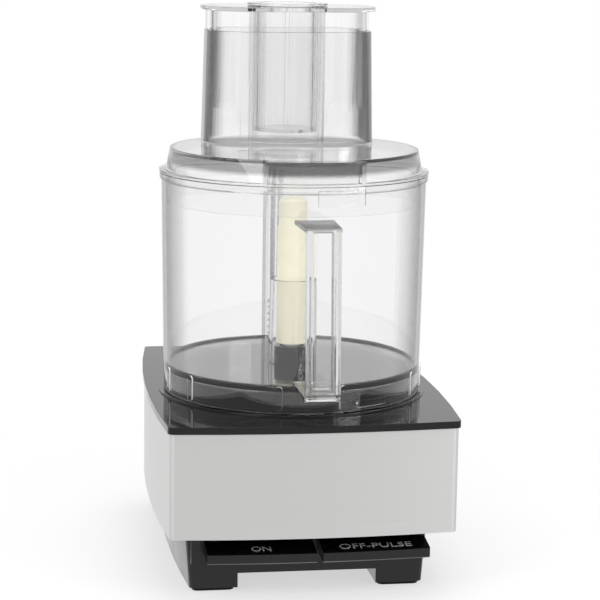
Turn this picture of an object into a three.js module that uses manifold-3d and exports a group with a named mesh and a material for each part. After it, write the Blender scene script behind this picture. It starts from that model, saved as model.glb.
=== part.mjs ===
// A food processor: drive base with its motor, twist-lock bowl, cover with a wide feed tube,
// a large pusher and a small one. Millimetres, +Z up, with the handle at the front, towards -Y.
// Every piece is made about the bowl's axis; the whole then moves along Y, so that the origin lies
// at the floor under its middle.

import * as THREE from 'three';
import { mergeVertices } from 'three/addons/utils/BufferGeometryUtils.js';
import Module from 'manifold-3d';

const wasm = await Module();
wasm.setup();

// ---- driving sizes ----

const seatGap = 0.3; // between pieces that rest on or against each other
const runGap = 0.5; // round what turns or slides
const bite = 1; // how far a cut reaches past a face, and one joined body into the next

// drive base, plan; the first four are measured outwards from the bowl's seat
const frontMargin = 17.3;
const backMargin = 56.5;
const frontSideMargin = 2.5;
const backSideMargin = -4;
const frontBow = 10.3; // how far the front's control point stands out from its corners
const sideBow = 11.1; // the same for each side, from the front corners
const cornerRound = 4;
const cornerFlare = 0.3;

// drive base, heights and walls
const footHeight = 2.3;
const floorUnder = 12; // clearance under the lower base, between its legs
const floorThick = 2.5;
const skinBottom = 43.8;
const skinHeight = 69.3;
const skinThick = 1;
const skinEnd = 10.6; // from the back of the base to the joint with the rear cover
const rearThick = 3;
const housingWall = 3;
const deckSeam = 0.2;
const deckRim = 4.7;
const deckPlate = 3.2;
const deckOverhang = 1.2;

// rear cover and cord gland
const ventCount = 13;
const ventPitch = 8;
const ventWidth = 3.2;
const ventFoot = 24; // lower ends above the skin's lower edge
const ventHead = 12; // upper ends below the skin's upper edge
const windowHalf = 60; // opening in the housing behind the vents
const windowMargin = 4;
const glandInset = 31; // from the back half width
const glandRise = 10.5; // above the skin's lower edge
const glandBore = 3.8;
const glandWall = 1.4;
const glandFlange = 3.3;
const glandOut = 4.4;
const glandHole = 7;

// screws
const screwRadius = 1.7;
const baseScrewHead = 3.9;
const baseScrewHeadHeight = 2.4;
const baseScrewGrip = 20; // length of thread in the housing
const rearScrewHead = 3;
const rearScrewHeadHeight = 1.4;
const rearScrewSink = 1.3;
const rearScrewInset = 13; // from the back half width
const rearScrewEdge = 9; // from the skin's lower and upper edges
const bossRadius = 5;
const bossFront = -30;
const bossBack = 84;

// lower base, set in from the housing
const lowerSideInset = 16; // at the feet; the sides lean outwards above them
const lowerFrontInset = 28.3;
const lowerBackInset = 8.6;
const lowerBow = 9; // how far each side's control point stands out
const lowerDraft = 0.07; // outward lean per millimetre of height
const lowerWall = 3;
const lowerCorner = 5;
const topPlate = 3;
const legLength = 31.5;
const legFoot = 2.7; // thickness of the solid end of each leg
const padInset = 2;
const padCorner = 4;
const cheekWidth = 6;
const cheekOut = 7;
const cheekBottom = 21;
const sideVents = 8;
const sideVentPitch = 9;
const sideVentWidth = 3;
const sideVentFirst = -20;
const sideVentEdge = 4; // above the floor, and under the top plate
const floorVents = 7;
const floorVentPitch = 9;
const floorVentWidth = 4;
const floorVentHalf = 26;

// drum, tower and locks
const seatHeight = 0.9;
const drumRadius = 81;
const drumWall = 3;
const drumHeight = 13.5;
const drumPlate = 2.7;
const towerRadius = 11.6;
const towerWall = 3.4;
const towerHeight = 16.5;
const lugCount = 3;
const lugAngle = 16;
const baseLugDepth = 2.4;
const baseLugThick = 3.5;
const lugRunGap = 1.5; // between a lug of the bowl and the one above it
const bowlLugThick = 4.5;

// bowl
const lugClear = 1.2; // between the drum's lugs and the skirt
const bowlWall = 2.6;
const bowlHeight = 147.8;
const bowlFlare = 2;
const beadOut = 1.3;
const beadHeight = 4;
const beadChamfer = 0.7;
const floorClear = 2.3; // between the drum and the bowl's floor
const bowlFloorThick = 2.6;
const floorFillet = 2.4;
const chimneyHeight = 57.6;
const chimneyGap = 2; // round the tower
const chimneyWall = 2.4;
const chimneyDraft = 0.6;
const ribAngles = [14, 58, 78]; // on either side of the front
const ribWidth = 5;
const ribOut = 1.2;
const ribRise = 1.3; // above the bowl's floor

// rod channel at the back of the bowl
const channelHalf = 6.25;
const channelWall = 2;
const channelOut = 15.5; // from the bead to the channel's back
const channelRise = 10; // its floor above the skirt's lower edge
const rodRadius = 2;
const rodTravel = 4;
const rodStandoff = 5; // from the channel's back wall to the rod's axis
const rodClear = 2.2; // under the pressed rod, above the deck
const collarRadius = 3.7;
const collarHeight = 2;
const collarRise = 30.8; // above the channel's floor
const springTurns = 6;
const springWire = 0.6;

// handle
const handleReach = 45.3; // from the skirt to the front of the grip's foot
const handleLean = 7; // how far the grip's top lies behind its foot
const handleTopDrop = 20.7; // under the rim
const handleFootRise = 17.7; // above the skirt's lower edge
const handleHalf = 11.5; // at the front
const handleRootHalf = 12.9;
const armThick = 2.9;
const armRise = 1.9; // the lower arm's root above its end
const gripDepth = 12;
const gripTaper = 2; // how much narrower the grip's back is, each side
const gripWall = 4.8;
const gripFront = 2.4;
const gripFloor = 7;
const gripRound = 3;

// cover
const lidRise = 16.4; // above the rim
const lidPlate = 2.5;
const lidSlope = 2.9; // how far the wall leans in from the flange to the top
const lidFootGap = 0.2; // the wall's foot inside the bowl's mouth
const lidFlange = 1.6;
const flangeOver = 0.4; // beyond the bead
const innerSkirtGap = 1;
const innerSkirtWall = 2;
const innerSkirtDepth = 19.4;
const tabOut = 2.5; // beyond the bead
const tabWall = 2;
const tabLeft = -20.5;
const tabRight = 21;
const tabStep = 1;
const tabEdge = 1.5;
const tabClear = 0.8;
const tabDepth = 3;
const tabDropDepth = 12;
const rodTabAngle = 3.4;

// feed tube
const tubeHeight = 76.6;
const tubeHalf = 56.3;
const tubeFront = -1;
const tubeBack = 69;
const tubeWall = 3;
const tubeDraft = 2; // each side at its foot
const frontCorner = 30;
const backCorner = 25;

// pushers; depths are from the top of the large one
const flangeRise = 16.2; // above the feed tube
const flangePlate = 2.5;
const flangeRim = 2.8;
const flangeOut = 2.7;
const shellWall = 2.2;
const shellFrontDepth = 90.2; // the shell's front wall reaches lower than its back wall
const shellBackDepth = 83.2;
const shellNotchDepth = 67.9;
const notchFront = 36; // half width left between the notches
const notchBack = 32.5;
const supportThick = 1.8;
const supportInset = 0.6;
const supportFront = 7;
const supportBack = 5;
const smallTubeRadius = 26;
const smallTubeWall = 2.5;
const smallTubeDepth = 92.2;
const smallTubeBite = 0.5; // into the shell's back wall
const cupCapOut = 1.5;
const cupCapThick = 1.5;
const cupWall = 2;
const cupDepth = 85.2;
const cupRibs = 6;
const cupRibDepth = 1.8;
const cupRibWidth = 2;
const cupRibTurn = 15;

// drive
const shaftRadius = 6;
const shaftFlat = 1.5;
const shaftRise = 6; // above the bowl's chimney
const stemWall = 4.1;
const stemNeck = 0.8; // how much the head is narrower than the stem
const stemClear = 2; // above the tower
const stemStepRise = 28; // above the shaft's end
const stemHead = 22;
const stemSlope = 4;
const stemChamfer = 2;
const statorHalf = 46;
const statorBottom = 54;
const statorHeight = 38;
const statorCorner = 6;
const rotorRadius = 27.5;
const windingInset = 6;
const windingHeight = 10;
const bracketThick = 4;
const bracketGap = 12;
const boltInset = 8;
const boltRadius = 2;
const boltHead = 3.6;
const boltHeadHeight = 3;
const boltGrip = 12;
const postRadius = 5;
const mountHeight = 6;
const mountWall = 4;
const bearingRadius = 11;
const bearingHeight = 7;
const bearingWall = 3;
const sealHeight = 5;
const fanRadius = 38;
const fanHub = 13;
const fanHeight = 10;
const fanDisc = 2;
const fanBlades = 9;
const fanBladeThick = 1.6;
const fanClear = 3; // under the lower bearing
const shaftTail = 2; // under the fan

// levers
const leverCheekGap = 3; // between the cheek and the left lever
const leverPast = 0.5; // right end of the levers beyond the foot of the lower base
const leverBow = 5.5; // how far the lip stands out in the middle of the base
const leverSplit = 4;
const leverPivotBack = 18; // behind the front of the lower base
const pivotZ = 30;
const pivotRadius = 2;
const hubWall = 2.6;
const leverOut = 18.5; // in front of the lower base
const leverLipRise = 1.7; // above the pivot
const leverFace = 7.3;
const leverSlope = 2.6;
const leverChamfer = 0.8;
const armInset = 7;
const armUnder = 3;
const armOver = 2;
const armSlotGap = 1.5;
const armSlotUnder = 9;
const armSlotOver = 7;
const rodRibThick = 3;
const rodRibHalf = 6;
const rodRibTop = 5; // above the pivot
const rodRibInset = 4.5;

// switches and electrics
const switchHalf = 10;
const switchDepth = 9;
const switchForward = 10; // in front of the pivot
const switchPinRadius = 1.5;
const switchPinLength = 4.4;
const switchPinOut = 2.2;
const switchTravel = 0.7;
const plungerRadius = 2.4;
const plungerReach = 2.4; // under the deck plate
const plungerRest = 0.6; // above the pressed switch
const interlockHalf = 14;
const interlockDepth = 12;
const interlockHeight = 11;
const interlockPost = 4;
const capacitorRadius = 14;
const capacitorHeight = 47.2;
const capacitorX = 28;
const capacitorY = 96;
const boardInset = 16.5; // from the side wall of the lower base
const boardWidth = 48;
const boardFront = 54;
const boardDepth = 38;
const boardRise = 4;
const boardThick = 1.6;
const standoffInset = 5;
const standoffRadius = 3;
const relayLeft = 12;
const relayWidth = 20;
const relayFront = 10;
const relayDepth = 16;
const relayHeight = 16.1;

// ---- sizes that follow ----

const skirtRadius = drumRadius + baseLugDepth + lugClear + bowlWall;
const rimRadius = skirtRadius + bowlFlare;
const beadRadius = rimRadius + beadOut;
const seatRadius = beadRadius + runGap;
const baseFront = seatRadius + frontMargin;
const baseBack = seatRadius + backMargin;
const frontHalf = seatRadius + frontSideMargin;
const backHalf = seatRadius + backSideMargin;

const skinTop = skinBottom + skinHeight;
const deckTop = skinTop + deckSeam + deckRim;
const deckUnder = deckTop - deckPlate;
const housingInset = skinThick + seatGap;
const housingBackInset = rearThick + seatGap;
const housingBottom = skinBottom + 2 * seatGap + topPlate;
const rearWallY = baseBack - housingBackInset;
const skinBack = baseBack - skinEnd;

const lowerHalf = frontHalf - lowerSideInset;
const lowerFront = baseFront - lowerFrontInset;
const lowerBack = baseBack - lowerBackInset;
const floorTop = floorUnder + floorThick;
const lowerTop = skinBottom + seatGap; // underside of the plate inside the skin

const drumTop = deckTop + drumHeight;
const towerTop = drumTop + towerHeight;
const skirtBottom = deckTop + seatHeight + seatGap;
const rimTop = skirtBottom + bowlHeight;
const bowlFloorTop = drumTop + floorClear + bowlFloorThick;
const chimneyTop = bowlFloorTop + chimneyHeight;
const chimneyRadius = towerRadius + chimneyGap + chimneyWall;

const channelBack = beadRadius + channelOut;
const channelFloorTop = skirtBottom + channelRise;
const rodY = channelBack - channelWall - rodStandoff;
const rodBottom = deckTop + rodTravel + rodClear;
const rodTop = rimTop - deckSeam;
const collarBottom = channelFloorTop + collarRise;

const handleFront = skirtRadius + handleReach;
const handleTop = rimTop - handleTopDrop;
const handleBottom = skirtBottom + handleFootRise;

const lidTop = rimTop + lidRise;
const lidFoot = rimRadius - bowlWall - lidFootGap;
const lidRadius = lidFoot - lidSlope;
const tabRadius = beadRadius + tabOut;
const tubeTop = lidTop + tubeHeight;
const tubeMiddle = (tubeFront + tubeBack) / 2;
const flangeTop = tubeTop + flangeRise;
const smallCentre = tubeBack - tubeWall - runGap - smallTubeBite - smallTubeRadius;

const shaftTop = chimneyTop + shaftRise;
const stemRadius = shaftRadius + seatGap + stemWall;
const statorTop = statorBottom + statorHeight;
const upperPlateZ = statorTop + bracketGap;
const lowerPlateZ = statorBottom - bracketGap - bracketThick;
const mountTop = upperPlateZ + bracketThick + mountHeight;
const boltSpread = statorHalf - boltInset;
const lowerBearingZ = lowerPlateZ + bracketThick - bearingHeight;
const fanBottom = lowerBearingZ - fanClear - fanHeight;

const pivotY = leverPivotBack - lowerFront;
const leverLeft = cheekWidth + leverCheekGap - lowerHalf;
const leverWidth = (lowerHalf + leverPast - leverLeft - leverSplit) / 2;
const leverLefts = [leverLeft, leverLeft + leverWidth + leverSplit];

// ---- finishes ----

const finish = (color, roughness, metalness = 0) =>
  new THREE.MeshStandardMaterial({ color, roughness, metalness });
const clearFinish = new THREE.MeshStandardMaterial({
  color: '#e8eef0', roughness: 0.08, metalness: 0, transparent: true, opacity: 0.35,
});
const stainless = finish('#c9c9c8', 0.35, 1);
const glossBlack = finish('#0b0b0c', 0.12);
const satinBlack = finish('#161617', 0.5);
const rubberBlack = finish('#1b1b1b', 0.85);
const ivory = finish('#e2dab6', 0.4);
const steel = finish('#a9abad', 0.3, 1);
const laminate = finish('#6d7074', 0.5, 1);
const copper = finish('#a8592c', 0.45, 1);
const alloy = finish('#b9bcbe', 0.4, 1);
const switchBlack = finish('#232326', 0.55);
const boardGreen = finish('#2f5d3c', 0.6);
const plungerWhite = finish('#dcdcd6', 0.5);
const capacitorGrey = finish('#8b8d90', 0.5);

// ---- shaping helpers ----

const radians = (degrees) => (degrees * Math.PI) / 180;
const range = (count) => Array.from({ length: count }, (_, index) => index);
const bothSides = (low, high) => [[low, high], [-high, -low]];

// a closed three.js geometry as a solid
function solid(geometry) {
  geometry.deleteAttribute('normal');
  geometry.deleteAttribute('uv');
  const merged = mergeVertices(geometry, 1e-4);
  const index = merged.index.array;
  const triVerts = [];
  for (let i = 0; i < index.length; i += 3) {
    const [a, b, c] = [index[i], index[i + 1], index[i + 2]];
    if (a !== b && b !== c && c !== a) triVerts.push(a, b, c);
  }
  return new wasm.Manifold(new wasm.Mesh({
    numProp: 3,
    vertProperties: new Float32Array(merged.attributes.position.array),
    triVerts: new Uint32Array(triVerts),
  }));
}

function geometryOf(body) {
  const mesh = body.getMesh();
  const geometry = new THREE.BufferGeometry();
  geometry.setAttribute('position', new THREE.BufferAttribute(new Float32Array(mesh.vertProperties), 3));
  geometry.setIndex(new THREE.BufferAttribute(new Uint32Array(mesh.triVerts), 1));
  geometry.computeVertexNormals();
  return geometry;
}

const joined = (first, ...rest) => rest.reduce((body, next) => body.add(next), first);
const cut = (first, ...rest) => rest.reduce((body, next) => body.subtract(next), first);

// a shape in the XY plane, pulled up from z0 to z1
function raised(shape, z0, z1, curveSegments = 6) {
  const geometry = new THREE.ExtrudeGeometry(shape, { depth: z1 - z0, bevelEnabled: false, curveSegments });
  return solid(geometry.translate(0, 0, z0));
}

// the same, with each of its points then moved by a rule
function bent(geometry, rule) {
  const place = geometry.attributes.position;
  for (let i = 0; i < place.count; i += 1) {
    place.setXYZ(i, ...rule(place.getX(i), place.getY(i), place.getZ(i)));
  }
  return solid(geometry);
}

function raisedBent(shape, z0, z1, rule) {
  const options = { depth: z1 - z0, bevelEnabled: false, curveSegments: 6 };
  const geometry = new THREE.ExtrudeGeometry(shape, options);
  return bent(geometry.translate(0, 0, z0), rule);
}

// a closed outline of [y, z] pairs, pulled across from x0 to x1
function acrossGeometry(outline, x0, x1, steps = 1) {
  const shape = new THREE.Shape(outline.map(([y, z]) => new THREE.Vector2(y, z)));
  const geometry = new THREE.ExtrudeGeometry(shape, { depth: x1 - x0, steps, bevelEnabled: false });
  return geometry.applyMatrix4(new THREE.Matrix4().set(0, 0, 1, x0, 1, 0, 0, 0, 0, 1, 0, 0, 0, 0, 0, 1));
}

const across = (outline, x0, x1) => solid(acrossGeometry(outline, x0, x1));

function box(x0, x1, y0, y1, z0, z1) {
  const geometry = new THREE.BoxGeometry(x1 - x0, y1 - y0, z1 - z0);
  return solid(geometry.translate((x0 + x1) / 2, (y0 + y1) / 2, (z0 + z1) / 2));
}

function post(radius, z0, z1, x = 0, y = 0, sides = 12) {
  const geometry = new THREE.CylinderGeometry(radius, radius, z1 - z0, sides);
  return solid(geometry.rotateX(Math.PI / 2).translate(x, y, (z0 + z1) / 2));
}

const pipe = (outer, inner, z0, z1, x = 0, y = 0, sides = 20) =>
  cut(post(outer, z0, z1, x, y, sides), post(inner, z0 - bite, z1 + bite, x, y, sides));

// a round bar along X, or along Y
function crossBar(radius, x0, x1, y, z, sides = 16) {
  const geometry = new THREE.CylinderGeometry(radius, radius, x1 - x0, sides);
  return solid(geometry.rotateZ(Math.PI / 2).translate((x0 + x1) / 2, y, z));
}

function deepBar(radius, y0, y1, x, z, sides = 16) {
  const geometry = new THREE.CylinderGeometry(radius, radius, y1 - y0, sides);
  return solid(geometry.translate(x, (y0 + y1) / 2, z));
}

// a profile of [radius, z] pairs turned about Z, counter-clockwise, closed on itself or on the axis
function turned(profile, sides = 48) {
  const onAxis = profile[0][0] === 0 && profile.at(-1)[0] === 0;
  const closed = onAxis ? profile : [...profile, profile[0]];
  const points = closed.map(([r, z]) => new THREE.Vector2(r, z));
  return solid(new THREE.LatheGeometry(points, sides).rotateX(Math.PI / 2));
}

// a sector of a ring; angles in degrees from the front, positive to the right
function sector(outer, inner, z0, z1, from, to, steps = 8) {
  const shape = new THREE.Shape();
  const at = (radius, angle) => [radius * Math.sin(radians(angle)), -radius * Math.cos(radians(angle))];
  range(steps + 1).forEach((i) => {
    const spot = at(outer, from + ((to - from) * i) / steps);
    if (i === 0) shape.moveTo(...spot);
    else shape.lineTo(...spot);
  });
  range(steps + 1).forEach((i) => shape.lineTo(...at(inner, to - ((to - from) * i) / steps)));
  shape.closePath();
  return raised(shape, z0, z1);
}

function roundedRectangle(x0, x1, y0, y1, radius) {
  const shape = new THREE.Shape();
  shape.moveTo(x0 + radius, y0);
  shape.lineTo(x1 - radius, y0);
  shape.absarc(x1 - radius, y0 + radius, radius, -Math.PI / 2, 0);
  shape.lineTo(x1, y1 - radius);
  shape.absarc(x1 - radius, y1 - radius, radius, 0, Math.PI / 2);
  shape.lineTo(x0 + radius, y1);
  shape.absarc(x0 + radius, y1 - radius, radius, Math.PI / 2, Math.PI);
  shape.lineTo(x0, y0 + radius);
  shape.absarc(x0 + radius, y0 + radius, radius, Math.PI, 1.5 * Math.PI);
  return shape;
}

const product = new THREE.Group();
const machine = new THREE.Group();
machine.position.y = (handleFront - baseBack - glandOut) / 2;
product.add(machine);

function part(name, body, material) {
  const mesh = new THREE.Mesh(geometryOf(body), material);
  mesh.name = name;
  machine.add(mesh);
}

// ---- drive base: housing, drum, skin and rear cover ----

// a plan with a straight back, whose front and sides bow outwards
function bowedPlan(front, back, nearX, farX, outFront, outSide, round) {
  const shape = new THREE.Shape();
  const middle = (front + back) / 2;
  const bowX = nearX + outSide;
  const flareX = nearX + cornerFlare;
  shape.moveTo(-nearX + round, front);
  shape.quadraticCurveTo(0, front - outFront, nearX - round, front);
  shape.quadraticCurveTo(nearX, front, flareX, front + round);
  shape.quadraticCurveTo(bowX, middle, farX, back - round);
  shape.quadraticCurveTo(farX, back, farX - round, back);
  shape.lineTo(-farX + round, back);
  shape.quadraticCurveTo(-farX, back, -farX, back - round);
  shape.quadraticCurveTo(-bowX, middle, -flareX, front + round);
  shape.quadraticCurveTo(-nearX, front, -nearX + round, front);
  return shape;
}

const basePlan = (inset, backInset = inset) => bowedPlan(
  -baseFront + inset, baseBack - backInset, frontHalf - inset, backHalf - inset,
  frontBow, sideBow, cornerRound,
);
const lowerPlan = (inset) => bowedPlan(
  -lowerFront + inset, lowerBack - inset, lowerHalf - inset, lowerHalf - inset,
  0, lowerBow, lowerCorner,
);

const bossX = lowerHalf - lowerWall - bossRadius - armSlotGap;
const bossSpots = [bossFront, bossBack].flatMap((y) => [[-bossX, y], [bossX, y]]);
const screwBore = screwRadius + seatGap;
const boltSpots = [[-1, -1], [1, -1], [-1, 1], [1, 1]].map(([x, y]) => [x * boltSpread, y * boltSpread]);
const boltHoles = (z0, z1) => boltSpots.map(([x, y]) => post(boltRadius + seatGap, z0, z1, x, y, 10));
const plungerBottom = deckUnder - plungerReach;
const switchTop = plungerBottom - rodTravel - plungerRest;
const rearScrewX = backHalf - rearScrewInset;
const rearScrewZ = skinBottom + rearScrewEdge;
const rearScrewSpots = [[-rearScrewX, rearScrewZ], [rearScrewX, rearScrewZ]];
const glandX = glandInset - backHalf;
const glandZ = skinBottom + glandRise;
const glandNeck = glandBore + glandWall;
const lugSpots = range(lugCount).map((i) => -90 + (360 / lugCount) * i);
const lugTop = drumTop - bite;
const seatTop = deckTop + seatHeight;

function baseHousing() {
  const inner = housingInset + housingWall;
  const innerBack = housingBackInset + housingWall;
  const innerPlan = basePlan(inner, innerBack);
  let body = cut(
    raised(basePlan(housingInset, housingBackInset), housingBottom, deckUnder),
    raised(innerPlan, housingBottom - bite, deckUnder),
  );
  body = joined(
    body,
    raised(basePlan(-deckOverhang), deckTop - deckRim, deckTop),
    post(seatRadius, deckTop - bite, seatTop, 0, 0, 48),
  );
  body = cut(
    body,
    raised(innerPlan, deckTop - deckRim - bite, deckUnder),
    post(drumRadius - drumWall, deckUnder - bite, seatTop + bite, 0, 0, 48),
  );
  body = joined(
    body,
    ...bossSpots.map(([x, y]) => post(bossRadius, housingBottom, deckUnder + bite, x, y)),
    // two arms that hold the interlock switch
    ...bothSides(interlockHalf - interlockPost, interlockHalf).map(([x0, x1]) => box(
      x0, x1, rodY - interlockDepth / 2, rodY + interlockDepth / 2, switchTop, deckUnder + bite,
    )),
  );
  const innerBackY = rearWallY - housingWall - bite;
  const threadTop = housingBottom + baseScrewGrip + 2 * baseScrewHead;
  return cut(
    body,
    post(plungerRadius + runGap, deckUnder - bite, seatTop + bite, 0, rodY, 16),
    ...bossSpots.map(([x, y]) => post(screwBore, housingBottom - bite, threadTop, x, y, 10)),
    ...rearScrewSpots.map(([x, z]) => deepBar(screwBore, innerBackY, baseBack, x, z, 10)),
    box(
      -windowHalf, windowHalf, innerBackY, rearWallY + bite,
      skinBottom + ventFoot - windowMargin, skinTop - ventHead + windowMargin,
    ),
    deepBar(glandHole, innerBackY, rearWallY + bite, glandX, glandZ),
  );
}

// the drum stands on the deck, locks the bowl with its lugs and carries the motor inside
function driveDrum() {
  return cut(
    joined(
      pipe(drumRadius, drumRadius - drumWall, seatTop, drumTop, 0, 0, 48),
      post(drumRadius, drumTop - drumPlate, drumTop, 0, 0, 48),
      post(towerRadius, drumTop - bite, towerTop, 0, 0, 32),
      ...boltSpots.map(([x, y]) => post(postRadius + bite, mountTop, drumTop - bite, x, y)),
      ...lugSpots.map((angle) => sector(
        drumRadius + baseLugDepth, drumRadius - bite, lugTop - baseLugThick, lugTop,
        angle - lugAngle / 2, angle + lugAngle / 2, 4,
      )),
    ),
    post(towerRadius - towerWall, drumTop - drumPlate - bite, towerTop + bite),
    ...boltHoles(mountTop - bite, mountTop + boltGrip + 2 * bite),
  );
}

const skinRing = (thickness, backThickness) => cut(
  raised(basePlan(0), skinBottom, skinTop),
  raised(basePlan(thickness, backThickness), skinBottom - bite, skinTop + bite),
);

const farSide = 2 * (baseFront + baseBack);
const wrapPanel = () =>
  cut(skinRing(skinThick, rearThick), box(-farSide, farSide, skinBack, farSide, 0, farSide));

function rearCover() {
  const body = cut(
    skinRing(skinThick, rearThick),
    box(-farSide, farSide, -farSide, skinBack + seatGap, 0, farSide),
  );
  const slots = range(ventCount).map((i) => {
    const x = (i - (ventCount - 1) / 2) * ventPitch - ventWidth / 2;
    return box(x, x + ventWidth, skinBack, baseBack + bite, skinBottom + ventFoot, skinTop - ventHead);
  });
  return cut(
    body,
    ...slots,
    deepBar(glandNeck + seatGap, skinBack, baseBack + bite, glandX, glandZ),
    ...rearScrewSpots.map(([x, z]) => deepBar(screwBore, skinBack, baseBack + bite, x, z, 10)),
    ...rearScrewSpots.map(([x, z]) =>
      deepBar(rearScrewHead + seatGap, baseBack - rearScrewSink, baseBack + bite, x, z, 16)),
  );
}

function cordGland() {
  const outside = deepBar(glandNeck + glandFlange, baseBack, baseBack + glandOut, glandX, glandZ, 16);
  const neck = deepBar(glandNeck, rearWallY - housingWall - bite, baseBack + bite, glandX, glandZ, 16);
  const through = deepBar(glandBore, rearWallY - farSide, baseBack + farSide, glandX, glandZ, 16);
  return cut(joined(outside, neck), through);
}

// ---- lower base ----

const rodRibs = [
  leverLeft - rodRibInset,
  leverLefts[1] - (leverSplit + rodRibThick) / 2,
  lowerHalf - lowerWall - rodRibThick,
];
const boardLeft = boardInset + lowerWall - lowerHalf;
const boardRight = boardLeft + boardWidth;
const boardBack = boardFront + boardDepth;
const boardZ = floorTop + boardRise;

function lowerBase() {
  const inside = lowerHalf - lowerWall;
  const legInner = lowerHalf - legLength;
  const frontLeg = [-lowerFront, -lowerFront + legLength];
  const backLeg = [lowerBack - legLength, lowerBack];
  const rim = lowerTop + bite;
  const lean = (x, y, z) => [x * (1 + (lowerDraft * (z - footHeight)) / lowerHalf), y, z];
  let body = joined(
    raisedBent(lowerPlan(0), footHeight, rim, lean),
    raised(basePlan(housingInset, housingBackInset), lowerTop, lowerTop + topPlate),
    // raised cheek at the left of the levers
    box(-lowerHalf, -lowerHalf + cheekWidth, -lowerFront - cheekOut, -lowerFront + bite, cheekBottom, rim),
  );
  // clear space inside, and under the floor
  body = cut(
    body,
    raisedBent(lowerPlan(lowerWall), floorTop, housingBottom + bite, lean),
    box(-inside, inside, frontLeg[1], backLeg[0], 0, floorUnder),
    box(-legInner, legInner, -lowerFront - bite, lowerBack + bite, 0, floorUnder),
  );
  bothSides(legInner + lowerWall, inside).forEach((hollowX) => [frontLeg, backLeg].forEach(([near, far]) => {
    const hollowY = [near + lowerWall, far - lowerWall];
    body = cut(body, box(...hollowX, ...hollowY, footHeight + legFoot, floorTop + bite));
  }));
  // posts for the long screws, ribs for the lever rod and standoffs for the board
  const corners = [boardLeft + standoffInset, boardRight - standoffInset].flatMap((x) =>
    [boardFront + standoffInset, boardBack - standoffInset].map((y) => [x, y]));
  body = joined(
    body,
    ...bossSpots.map(([x, y]) => post(bossRadius, floorTop - bite, housingBottom - seatGap, x, y)),
    ...rodRibs.map((x) => {
      const foot = Math.abs(x) > legInner ? footHeight + bite : floorTop - bite;
      return box(x, x + rodRibThick, pivotY - rodRibHalf, pivotY + rodRibHalf, foot, pivotZ + rodRibTop);
    }),
    ...corners.map(([x, y]) => post(standoffRadius, floorTop - bite, boardZ - seatGap, x, y, 12)),
  );
  const sideSlots = range(sideVents).flatMap((i) => {
    const y = sideVentFirst + i * sideVentPitch - sideVentWidth / 2;
    return bothSides(inside, farSide).map((x) => box(
      ...x, y, y + sideVentWidth, floorTop + sideVentEdge, lowerTop - sideVentEdge - bite,
    ));
  });
  const floorSlots = range(floorVents).map((i) => {
    const x = (i - (floorVents - 1) / 2) * floorVentPitch - floorVentWidth / 2;
    return box(x, x + floorVentWidth, -floorVentHalf, floorVentHalf, floorUnder - bite, floorTop + bite);
  });
  const headTop = floorUnder + baseScrewHeadHeight + 2 * seatGap;
  return cut(
    body,
    ...leverLefts.map((x) => box(
      x + armInset - armSlotGap, x + leverWidth - armInset + armSlotGap,
      -lowerFront - bite, -lowerFront + lowerWall + bite, pivotZ - armSlotUnder, pivotZ + armSlotOver,
    )),
    crossBar(pivotRadius + seatGap, -inside + bite, inside + bite, pivotY, pivotZ),
    ...bossSpots.map(([x, y]) => post(screwBore, floorUnder - bite, housingBottom + bite, x, y, 10)),
    ...bossSpots.map(([x, y]) => post(baseScrewHead + seatGap, floorUnder - bite, headTop, x, y, 12)),
    ...sideSlots,
    ...floorSlots,
  );
}

function foot(side, end) {
  const padSide = legLength - 2 * padInset;
  const x = lowerHalf - legLength + padInset;
  const y = end < 0 ? -lowerFront + padInset : lowerBack - legLength + padInset;
  const spanX = side > 0 ? [x, x + padSide] : [-x - padSide, -x];
  return raised(roundedRectangle(...spanX, y, y + padSide, padCorner), 0, footHeight, 4);
}

function baseScrew([x, y]) {
  const head = floorUnder + seatGap;
  return joined(
    post(screwRadius, head + bite, housingBottom + baseScrewGrip, x, y, 8),
    post(baseScrewHead, head, head + baseScrewHeadHeight, x, y, 12),
  );
}

function rearScrew([x, z]) {
  const head = baseBack - rearScrewSink + seatGap;
  return joined(
    deepBar(screwRadius, rearWallY - housingWall - 2 * bite, head + bite / 2, x, z, 8),
    deepBar(rearScrewHead, head, head + rearScrewHeadHeight, x, z, 12),
  );
}

// ---- levers, their rod and their switches ----

function lever(left) {
  const back = -lowerFront - bite;
  const lip = -lowerFront - leverOut;
  const top = pivotZ + leverLipRise;
  const right = left + leverWidth;
  const outline = acrossGeometry([
    [lip + leverChamfer, top],
    [lip, top - leverChamfer],
    [lip, top - leverFace + bite],
    [lip + bite, top - leverFace],
    [back, top - leverFace + leverChamfer],
    [back, top + leverSlope],
  ], left, right, 6);
  // the lip follows the bow of the housing above it
  const paddle = bent(outline, (x, y, z) =>
    [x, y - leverBow * (1 - (x / frontHalf) ** 2) * ((back - y) / (back - lip)), z]);
  const arm = joined(
    box(left + armInset, right - armInset, back - bite, pivotY, pivotZ - armUnder, pivotZ + armOver),
    crossBar(pivotRadius + hubWall, left + armInset, right - armInset, pivotY, pivotZ, 20),
  );
  return cut(joined(paddle, arm), crossBar(pivotRadius + seatGap, left - bite, right + bite, pivotY, pivotZ));
}

const leverRod = () =>
  crossBar(pivotRadius, rodRibs[0], rodRibs[2] + rodRibThick - runGap, pivotY, pivotZ);
const switchY = pivotY - switchForward;
const switchCentre = (left) => left + leverWidth / 2;
const switchPinTop = pivotZ - armUnder - seatGap;
const switchPinBottom = switchPinTop - switchPinLength;

function leverSwitch(left) {
  const x = switchCentre(left);
  const blockTop = switchPinTop - switchPinOut;
  const wellBottom = switchPinBottom - switchTravel - seatGap;
  return cut(
    box(x - switchHalf, x + switchHalf, switchY - switchDepth / 2, switchY + switchDepth / 2,
      floorTop + seatGap, blockTop),
    post(switchPinRadius + seatGap, wellBottom, blockTop + bite, x, switchY, 12),
  );
}
const leverPlunger = (left) =>
  post(switchPinRadius, switchPinBottom, switchPinTop, switchCentre(left), switchY, 12);

// ---- motor ----

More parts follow.
